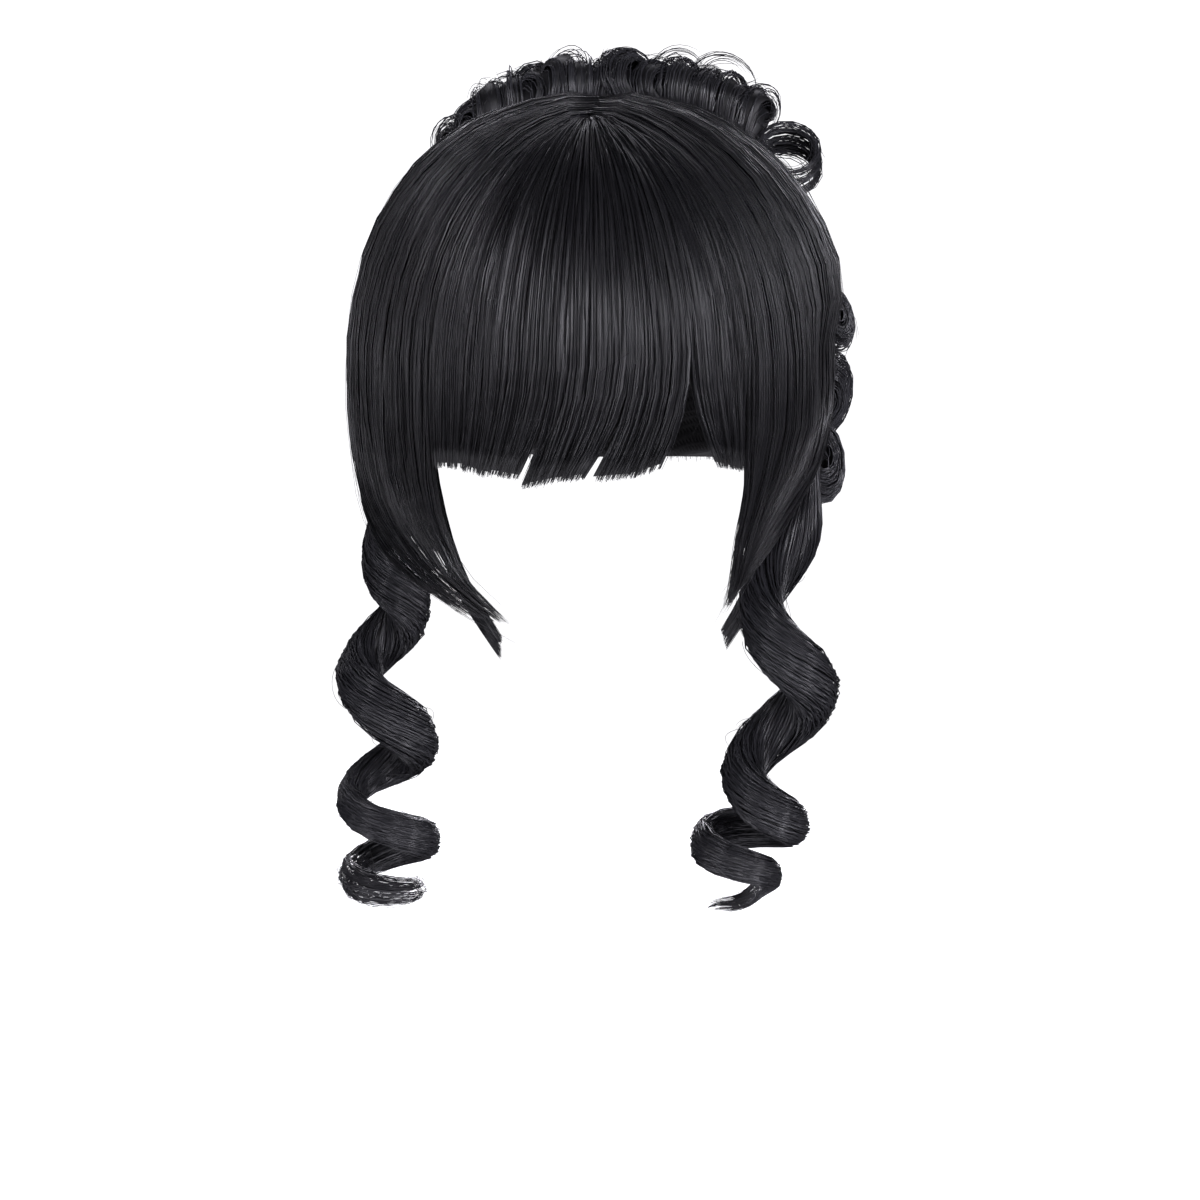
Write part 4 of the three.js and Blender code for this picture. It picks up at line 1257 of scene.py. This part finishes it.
class WIG_OT_make_curls(bpy.types.Operator):
    """Makes the rows of rolled curls over the back of the head"""

    bl_idname = "wig.make_curls"
    bl_label = "Make curls"

    SEED = 61
    STEPS = 16
    # Strands of a curl in each row, how far strands gather in tufts, and how much slimmer a roll
    # is at its edges
    STRANDS = (48, 38, 36, 36)
    GATHER = 0.45
    FULLNESS = 0.88
    # What differs in the barrel curls behind the crest, in curls beside the left side hair, in
    # the open curl, in curls of two rolls, and in the thin loops that stand off the crest
    BARREL = {"fullness": 0.42, "width": 1.38 * CURL_WIDTH, "coarse": 1.7, "gather": 0.15}
    SIDE = {"fullness": 0.99, "strands": 96, "stretch": 1.6}
    OPEN = {"fullness": 0.35, "strands": 130, "sweep": 350.0, "end_share": 0.75}
    DOUBLE = {"width": 0.8 * CURL_WIDTH, "strands": 42}
    LOOP = {"fullness": 0.35, "width": 0.5 * CURL_WIDTH, "strands": 10, "sweep": 240.0,
            "end_share": 0.85, "loose": 1.6, "filled": False}
    BARREL_SIZE = 1.17
    BARREL_LOOSENESS = 1.1
    # Unevenness of rolls side by side: their turn, their size share and their rise
    VEER_DEGREES = 42.0
    SWELL = 0.14
    RISE = 2.4
    # Loops of a curl, their size share, rise, slip and turn, and the first curl whose loops face
    # the wearer's right
    LOOPS = 2
    LOOP_SIZE = 0.88
    LOOP_RISE = 1.5
    LOOP_SLIP = 0.25
    LOOP_VEER_DEGREES = 45.0
    FIRST_TO_RIGHT = 9
    # Numbers kept for the rolls and loops of a curl, and the first of its loops
    PARTS = 5
    FIRST_LOOP = 3
    PLACE_NUDGE = 0.004
    CREST_LEAN = 0.5
    # Where a roll starts to wind, its least thickness, and its seat over the row
    ROOT_ANGLE = -90.0
    THINNEST = 0.02
    SEAT_SHARE = 0.7
    SEAT_GAP = 0.35
    STALK_STEEPNESS = 6.0
    UNDER_STEPS = 14
    UNDER_END = 0.85
    UNDER_SPREAD = 0.8
    UNDER_INSET = 1.6
    BASE_STEPS = 4
    BASE_SIDES = 8
    BASE_WIDTH = 0.36
    BASE_THICKNESS = 0.6
    BASE_DEPTH = 1.0
    # Tufts of a roll, and the unevenness of their winding, spread and loosening and of their
    # strands'
    TUFT_STRANDS = 8
    FEWEST_TUFTS = 4
    TUFT_SWEEPS = (0.75, 1.2)
    STRAND_SWEEPS = (0.93, 1.07)
    ROOT_SPREAD = 0.8
    TUFT_SPREAD = 0.1
    STRAND_WANDER = 0.05
    TUFT_LOOSENING = 0.9
    STRAND_LOOSENING = 0.35
    LOOSE_WANDER = 0.4
    TUFT_RELIEF = 1.2
    INSET = 1.3
    WIDTHS = (0.55, 1.05)
    # Painted light: tone added to every strand of a curl, so that the fibre shows lighter than it
    # is
    PAINTED_LIGHT = 4.6
    TIP = 0.2
    THINNING = 3
    # Loose hairs of a roll: their number and what looseness adds, where they start, their length
    # and sideways drift, how far their tips stand off, and their width shares
    FRIZZ = (4, 8)
    FRIZZ_STEPS = 9
    FRIZZ_STARTS = (0.08, 0.6)
    FRIZZ_LENGTHS = (0.08, 0.26)
    FRIZZ_DRIFT = 0.3
    FRIZZ_LIFT = 0.2
    FRIZZ_RISES = (0.3, 2.6)
    FRIZZ_WANDER = 0.2
    FRIZZ_WIDTHS = (0.8, 1.6)

    def place(self, weft, share):
        """A place along a row, from its right leg over the arch to its left leg, or down the
        column."""
        polar, _, _, _, leg = weft
        if polar is None:
            way = mix(-COLUMN_RISE, leg, share)
            raised = max(-way, 0.0) / BACK_SURFACE[2]
            return dome(BACK_SURFACE, 0.0, math.cos(raised), max(way, 0.0))
        spread, behind = math.sin(math.radians(polar)), math.cos(math.radians(polar))
        arch = math.pi * spread * BACK_SURFACE[2]
        way = share * (arch + 2 * leg) - leg
        swing = (min(max(way / arch, 0.0), 1.0) - 0.5) * math.pi
        drop = max(-way, way - arch, 0.0)
        return dome(BACK_SURFACE, spread * math.sin(swing), behind, drop)

    def curl(self, weft, number, heading, size, tilt):
        """The root, directions and size of a roll at a number along the row."""
        _, curls, radius, crest_radius, _ = weft
        share = number / curls
        root = self.place(weft, share)
        along = self.place(weft, share + self.PLACE_NUDGE)
        along = along - self.place(weft, share - self.PLACE_NUDGE)
        crestward = np.array((-self.CREST_LEAN * np.sign(root[0]), 0.0, 1.0))
        out = unit(outward(BACK_SURFACE, root) + tilt * crestward)
        along = unit(along - out * np.dot(along, out))
        turn = math.radians(heading)
        sideways = along * math.cos(turn) + np.cross(out, along) * math.sin(turn)
        crest = math.sin(share * math.pi) ** 2
        return {
            "root": root, "out": out, "sideways": sideways, "across": np.cross(out, sideways),
            "size": size * mix(radius, crest_radius, crest),
        }

    def rolls(self, weft, row, i):
        """The rolls of one curl, side by side along the row, each turned a little its own way,
        and the thin loops that stand off a crest curl."""
        barrel = row > 0 or i not in CREST_CURLS
        usual = (0.0, 180.0 * uneven(row, i, "heading"),
                 (1 + CURL_UNEVENNESS * uneven(row, i, "size")) * self.BARREL_SIZE,
                 0.0, 0.0, self.BARREL_LOOSENESS, True, 1)
        style = usual if barrel else CREST_CURLS[i]
        slip, heading, size, stalk, tilt, loose, filled, rolls = style
        look = {
            "loose": loose, "filled": filled, "strands": self.STRANDS[row], "coarse": 1.0,
            "width": CURL_WIDTH, "fullness": self.FULLNESS, "gather": self.GATHER,
            "stretch": 1.0, "sweep": CURL_SWEEP_DEGREES, "end_share": CURL_END_SHARE,
        }
        if barrel:
            look.update(self.BARREL)
        elif i in SIDE_CURLS:
            look.update(self.SIDE)
        elif not filled:
            look.update(self.OPEN)
        elif rolls > 1:
            look.update(self.DOUBLE)
        for roll in range(rolls):
            number = i * self.PARTS + roll
            apart = (roll + 0.5) / rolls - 0.5
            veer, swell, rise = 0.0, 1.0, 0.0
            if rolls > 1:
                veer = self.VEER_DEGREES * uneven(row, number, "veer")
                swell = 1.0 + self.SWELL * uneven(row, number, "swell")
                rise = self.RISE * uneven(row, number, "rise")
            curl = self.curl(weft, i + 0.5 + slip + apart, heading + veer, size * swell, tilt)
            yield {**look, **curl, "stalk": stalk + rise}
        if row > 0 or i not in LOOPED_CURLS:
            return
        facing = 0.0 if i < self.FIRST_TO_RIGHT else 180.0
        for loop in range(self.LOOPS):
            number = i * self.PARTS + self.FIRST_LOOP + loop
            apart = (loop + 0.5) / self.LOOPS - 0.5
            apart = apart + self.LOOP_SLIP * uneven(row, number, "loop slip")
            veer = self.LOOP_VEER_DEGREES * uneven(row, number, "loop veer")
            swell = self.LOOP_SIZE + self.SWELL * uneven(row, number, "loop swell")
            curl = self.curl(weft, i + 0.5 + apart, facing + veer, size * swell, tilt)
            yield {**look, **self.LOOP, **curl, "stalk": stalk + self.LOOP_RISE}

    def lines(self, curl, part, spread, sweep, loosen):
        """Strands of a curl at shares of its length and across its width. They wind by the
        sweep, and the loosening moves them out of the winding."""
        angle = np.radians(self.ROOT_ANGLE + part * sweep)
        full = np.maximum(1.0 - curl["fullness"] * spread**2, self.THINNEST)
        start = curl["size"] * np.sqrt(full)
        radius = start * mix(1.0, curl["end_share"], part) + loosen
        spoke = (curl["sideways"] * np.cos(angle)[..., None] * curl["stretch"]
                 + curl["out"] * np.sin(angle)[..., None])
        rise = mix(start, curl["size"], self.SEAT_SHARE) + self.SEAT_GAP
        rise = rise + curl["stalk"] * ease(part * self.STALK_STEEPNESS)
        width = curl["width"] * mix(1.0, CURL_END_WIDTH / CURL_WIDTH, part) / 2
        return (curl["root"] + curl["out"] * rise[..., None] + spoke * radius[..., None]
                + curl["across"] * (CURL_DRIFT * part + width * spread)[..., None]), unit(spoke)

    def add_filling(self, hair, curl):
        """The dense inside of a curl."""
        part = np.linspace(0.0, self.UNDER_END, self.UNDER_STEPS)[:, None]
        edge = np.array((-1.0, 0.0, 1.0, 1.0, 0.0, -1.0))[None, :] * self.UNDER_SPREAD
        inset = np.array((1.0, 1.0, 1.0, 0.0, 0.0, 0.0))[None, :] + self.UNDER_INSET
        core, _ = self.lines(curl, part, edge, curl["sweep"], -inset)
        hair.core(core)
        if curl["stalk"] > 0.0:
            self.add_base(hair, curl)

    def add_base(self, hair, curl):
        """The dense foot that a raised curl stands on."""
        wide, thick = self.BASE_WIDTH * curl["width"], self.BASE_THICKNESS * curl["size"]
        height = np.linspace(-self.BASE_DEPTH, curl["stalk"] + curl["size"], self.BASE_STEPS)
        turn = np.arange(self.BASE_SIDES) * 2 * math.pi / self.BASE_SIDES
        ring = (curl["across"] * wide * np.cos(turn)[:, None]
                + curl["sideways"] * thick * np.sin(turn)[:, None])
        hair.core(curl["root"] + curl["out"] * height[:, None, None] + ring)

    def add_lock(self, hair, curl, fibre, rng):
        """The strands of a roll, in tufts that wind each in their own way."""
        n, loose = curl["strands"], curl["loose"]
        tufts = max(n // self.TUFT_STRANDS, self.FEWEST_TUFTS)
        share = (np.arange(n) + rng.uniform(0.0, 1.0, n)) / n
        relief, middle, tuft = lock_relief(share, tufts, rng)
        part = np.linspace(0.0, 1.0, self.STEPS)[None, :]
        sweep = curl["sweep"] * rng.uniform(*self.TUFT_SWEEPS, tufts)[tuft]
        sweep = (sweep * rng.uniform(*self.STRAND_SWEEPS, n))[:, None]
        gathered = mix(2.0 * share - 1.0, 2.0 * middle - 1.0, curl["gather"])[:, None]
        spread = mix(2.0 * share[:, None] - 1.0, gathered, ease(part * 2))
        spread = spread * mix(self.ROOT_SPREAD, 1.0, ease(part * 4))
        spread = spread + rng.normal(0.0, self.TUFT_SPREAD, tufts)[tuft][:, None] * loose * part
        spread = spread + wander(rng, n, self.STEPS, self.STRAND_WANDER)
        tuft_loosen = rng.normal(0.0, self.TUFT_LOOSENING, tufts)[tuft] * loose
        loosen = relief * self.TUFT_RELIEF - self.INSET
        loosen = loosen + rng.normal(0.0, self.STRAND_LOOSENING, n) * loose
        loosen = loosen[:, None] + tuft_loosen[:, None] * ease(part * 3)
        loosen = loosen + wander(rng, n, self.STEPS, self.LOOSE_WANDER * loose) * ease(part * 2)
        lines, spoke = self.lines(curl, part, spread, sweep, loosen)
        widths = fibre.strand_width / MM * rng.uniform(*self.WIDTHS, n) * curl["coarse"]
        tones = lock_tones(rng, relief, ROLL_TONE, self.PAINTED_LIGHT)
        hair.strands(lines, widths, spoke, rng, self.TIP, self.THINNING, tones)

    def add_frizz(self, hair, curl, fibre, rng):
        """Loose hairs whose tips stand off a roll."""
        few, more = self.FRIZZ
        n = round((few + more * curl["loose"]) * curl["width"] / CURL_WIDTH)
        steps = self.FRIZZ_STEPS
        way = np.linspace(0.0, 1.0, steps)[None, :]
        part = rng.uniform(*self.FRIZZ_STARTS, (n, 1))
        part = part + way * rng.uniform(*self.FRIZZ_LENGTHS, (n, 1))
        spread = rng.uniform(-1.0, 1.0, (n, 1))
        spread = spread + way * rng.normal(0.0, self.FRIZZ_DRIFT, (n, 1))
        off = self.FRIZZ_LIFT + way**2 * rng.uniform(*self.FRIZZ_RISES, (n, 1))
        off = off + wander(rng, n, steps, self.FRIZZ_WANDER) * way
        lines, spoke = self.lines(curl, part, spread, curl["sweep"], off)
        widths = fibre.stray_width / MM * rng.uniform(*self.FRIZZ_WIDTHS, n)
        hair.strands(lines, widths, spoke, rng)

    def execute(self, context):
        fibre = context.scene.wig_fibre
        for row, weft in enumerate(CURL_WEFTS):
            rng = np.random.default_rng(self.SEED + row)
            hair = Hair()
            for i in range(weft[1]):
                for roll in self.rolls(weft, row, i):
                    if roll["filled"]:
                        self.add_filling(hair, roll)
                    self.add_lock(hair, roll, fibre, rng)
                    self.add_frizz(hair, roll, fibre, rng)
            piece = hair.make(f"curls_{row + 1}", fibre_material(fibre))
            settle(piece, "fibre", f"curl_weft_{row + 1}")
        return {"FINISHED"}


class WIG_OT_set_stage(bpy.types.Operator):
    """Sets the pale studio floor, the soft lights and the camera"""

    bl_idname = "wig.set_stage"
    bl_label = "Set stage"

    # Softboxes: azimuth and elevation in degrees, distance, width, height and power
    SOFTBOXES = {
        "Front softbox": (31.0, 19.7, 1.8, 0.95, 0.38, 14.6),
        "Upper front softbox": (3.0, 28.0, 1.8, 0.55, 0.35, 3.2),
        "Right front softbox": (-30.0, 12.5, 1.8, 0.6, 0.35, 2.2),
        "Low right softbox": (-43.0, -1.0, 2.2, 0.7, 0.4, 13.5),
        "Left side softbox": (67.0, 7.0, 1.6, 0.45, 0.5, 12.0),
        "Right side softbox": (-70.0, 4.0, 1.6, 0.4, 0.4, 2.8),
        "Back softbox": (180.0, 50.0, 1.6, 1.4, 0.6, 6.5),
        "Low back softbox": (180.0, 8.0, 1.8, 1.2, 0.6, 14.0),
        "Floor bounce": (0.0, -80.0, 0.5, 0.7, 0.4, 2.0),
    }
    DAYLIGHT = (1.0, 0.982, 1.075)
    AIM = Vector((0.0, 0.0, -0.09))
    SENSOR_WIDTH = 36.0
    # The round floor, in metres, and the curve at its edge
    FLOOR_SIDES = 64
    FLOOR_RADIUS = 3.0
    CURVE_RADIUS = 1.0
    CURVE_STEPS = 12
    WALL_TOP = 3.2
    FLOOR_FINISH = {
        "Roughness": 0.9, "Emission Color": (1.0, 1.0, 1.0, 1.0), "Emission Strength": 0.95,
    }
    GRAIN_SCALE = 3.0
    GRAIN_SHADE = 1.02
    # Brightness of the surroundings by elevation in degrees, from the floor to the ceiling
    SURROUNDINGS = ((-60.0, 0.03), (-30.0, 0.06), (-10.0, 0.16), (8.0, 0.16), (34.0, 0.015))

    def stand(self, name, data, azimuth, elevation, distance, target):
        """Stands a light or a camera at a distance from its target, facing it."""
        holder = bpy.data.objects.new(name, data)
        level = math.cos(elevation)
        back = Vector((math.sin(azimuth) * level, -math.cos(azimuth) * level,
                       math.sin(elevation)))
        holder.location = target + back * distance
        holder.rotation_mode = "QUATERNION"
        holder.rotation_quaternion = back.to_track_quat("Z", "Y")
        bpy.context.scene.collection.objects.link(holder)
        return holder

    def add_softbox(self, name, azimuth, elevation, distance, width, height, power):
        """A soft light that faces the wig and does not show itself."""
        light = bpy.data.lights.new(name, "AREA")
        light.shape = "RECTANGLE"
        light.size, light.size_y = width, height
        light.energy = power
        light.color = self.DAYLIGHT
        angles = math.radians(azimuth), math.radians(elevation)
        holder = self.stand(name, light, *angles, distance, self.AIM)
        holder.visible_camera = False

    def add_camera(self, studio):
        """The camera at the photograph's viewing angle."""
        camera = bpy.data.cameras.new("Camera")
        camera.sensor_width = self.SENSOR_WIDTH
        camera.lens = self.SENSOR_WIDTH * studio.camera_distance / studio.picture_width
        bpy.context.scene.camera = self.stand(
            "Camera", camera, studio.camera_azimuth, studio.camera_elevation,
            studio.camera_distance, Vector((0.0, 0.0, studio.picture_middle)))

    def add_floor(self, studio):
        """A round floor whose edge curves up into a plain wall on every side."""
        level = studio.floor_level
        flat = self.FLOOR_RADIUS - self.CURVE_RADIUS
        profile = [(flat, level)]
        for step in range(1, self.CURVE_STEPS + 1):
            a = step / self.CURVE_STEPS * math.pi / 2
            profile.append((flat + self.CURVE_RADIUS * math.sin(a),
                            level + self.CURVE_RADIUS * (1 - math.cos(a))))
        profile.append((self.FLOOR_RADIUS, self.WALL_TOP))
        sides = self.FLOOR_SIDES
        points = [(0.0, 0.0, level)]
        for radius, z in profile:
            for i in range(sides):
                a = i / sides * 2 * math.pi
                points.append((radius * math.cos(a), radius * math.sin(a), z))
        faces = [(0, 1 + i, 1 + (i + 1) % sides) for i in range(sides)]
        for ring in range(len(profile) - 1):
            first = 1 + ring * sides
            for i in range(sides):
                j = (i + 1) % sides
                faces.append((first + i, first + sides + i, first + sides + j, first + j))
        mesh = bpy.data.meshes.new("studio_floor")
        mesh.from_pydata(points, [], faces)
        mesh.shade_smooth()
        mesh.materials.append(self.floor_material(studio))
        floor = bpy.data.objects.new("studio_floor", mesh)
        floor.visible_glossy = False
        floor.visible_diffuse = False
        floor.visible_shadow = False
        bpy.context.scene.collection.objects.link(floor)

    def floor_material(self, studio):
        """Pale floor with a faint grain."""
        material, tree, shader = new_material("Studio floor", self.FLOOR_FINISH)
        grain = add_node(tree, "TexNoise", {"Scale": self.GRAIN_SCALE})
        paler = [c * self.GRAIN_SHADE for c in studio.floor_colour]
        colour = two_colours(tree, studio.floor_colour, paler)
        join(tree, (grain, "Fac", colour, "Factor"), (colour, "Result", shader, "Base Color"))
        return material

    def surroundings(self):
        """A pale floor and walls all round, under a dark ceiling."""
        world = bpy.data.worlds.new("Studio")
        world.use_nodes = True
        tree = world.node_tree
        place = add_node(tree, "TexCoord")
        parts = add_node(tree, "SeparateXYZ")
        height = add_node(tree, "MapRange", {"From Min": -1.0})
        fade = add_node(tree, "ValToRGB")
        fade.color_ramp.interpolation = "EASE"
        stops = fade.color_ramp.elements
        while len(stops) < len(self.SURROUNDINGS):
            stops.new(0.5)
        for stop, (elevation, brightness) in zip(stops, self.SURROUNDINGS):
            stop.position = (math.sin(math.radians(elevation)) + 1) / 2
            stop.color = (*[brightness * c for c in self.DAYLIGHT], 1.0)
        join(tree, (place, "Generated", parts, "Vector"), (parts, "Z", height, "Value"),
             (height, "Result", fade, "Fac"), (fade, "Color", tree.nodes["Background"], "Color"))
        return world

    def execute(self, context):
        studio = context.scene.wig_studio
        self.add_floor(studio)
        for name, values in self.SOFTBOXES.items():
            self.add_softbox(name, *values)
        context.scene.world = self.surroundings()
        context.scene.view_settings.view_transform = "Standard"
        self.add_camera(studio)
        return {"FINISHED"}


class VIEW3D_PT_wig(bpy.types.Panel):
    """Lists the wig's pieces in the sidebar"""

    bl_label = "Costume wig"
    bl_idname = "VIEW3D_PT_wig"
    bl_space_type = "VIEW_3D"
    bl_region_type = "UI"
    bl_category = "Wig"

    def draw(self, context):
        for settings in (context.scene.wig_fibre, context.scene.wig_studio):
            box = self.layout.box()
            for name in settings.bl_rna.properties.keys():
                if name not in ("rna_type", "name"):
                    box.prop(settings, name)
        for operator in OPERATORS:
            self.layout.operator(operator.bl_idname)


OPERATORS = (
    WIG_OT_make_cap,
    WIG_OT_make_fringe,
    WIG_OT_make_crown,
    WIG_OT_make_back,
    WIG_OT_make_nape_locks,
    WIG_OT_make_ringlets,
    WIG_OT_make_curls,
    WIG_OT_set_stage,
)
CLASSES = (WigFibre, WigStudio, *OPERATORS, VIEW3D_PT_wig)


def register():
    for each in CLASSES:
        bpy.utils.register_class(each)
    bpy.types.Scene.wig_fibre = bpy.props.PointerProperty(type=WigFibre)
    bpy.types.Scene.wig_studio = bpy.props.PointerProperty(type=WigStudio)


def unregister():
    del bpy.types.Scene.wig_studio
    del bpy.types.Scene.wig_fibre
    for each in reversed(CLASSES):
        bpy.utils.unregister_class(each)


def main():
    """Makes the wig and its stage."""
    register()
    bpy.ops.wig.make_cap()
    bpy.ops.wig.make_fringe()
    bpy.ops.wig.make_crown()
    bpy.ops.wig.make_back()
    bpy.ops.wig.make_nape_locks()
    bpy.ops.wig.make_ringlets()
    bpy.ops.wig.make_curls()
    bpy.ops.wig.set_stage()
    bpy.context.view_layer.update()


if __name__ == "__main__":
    main()
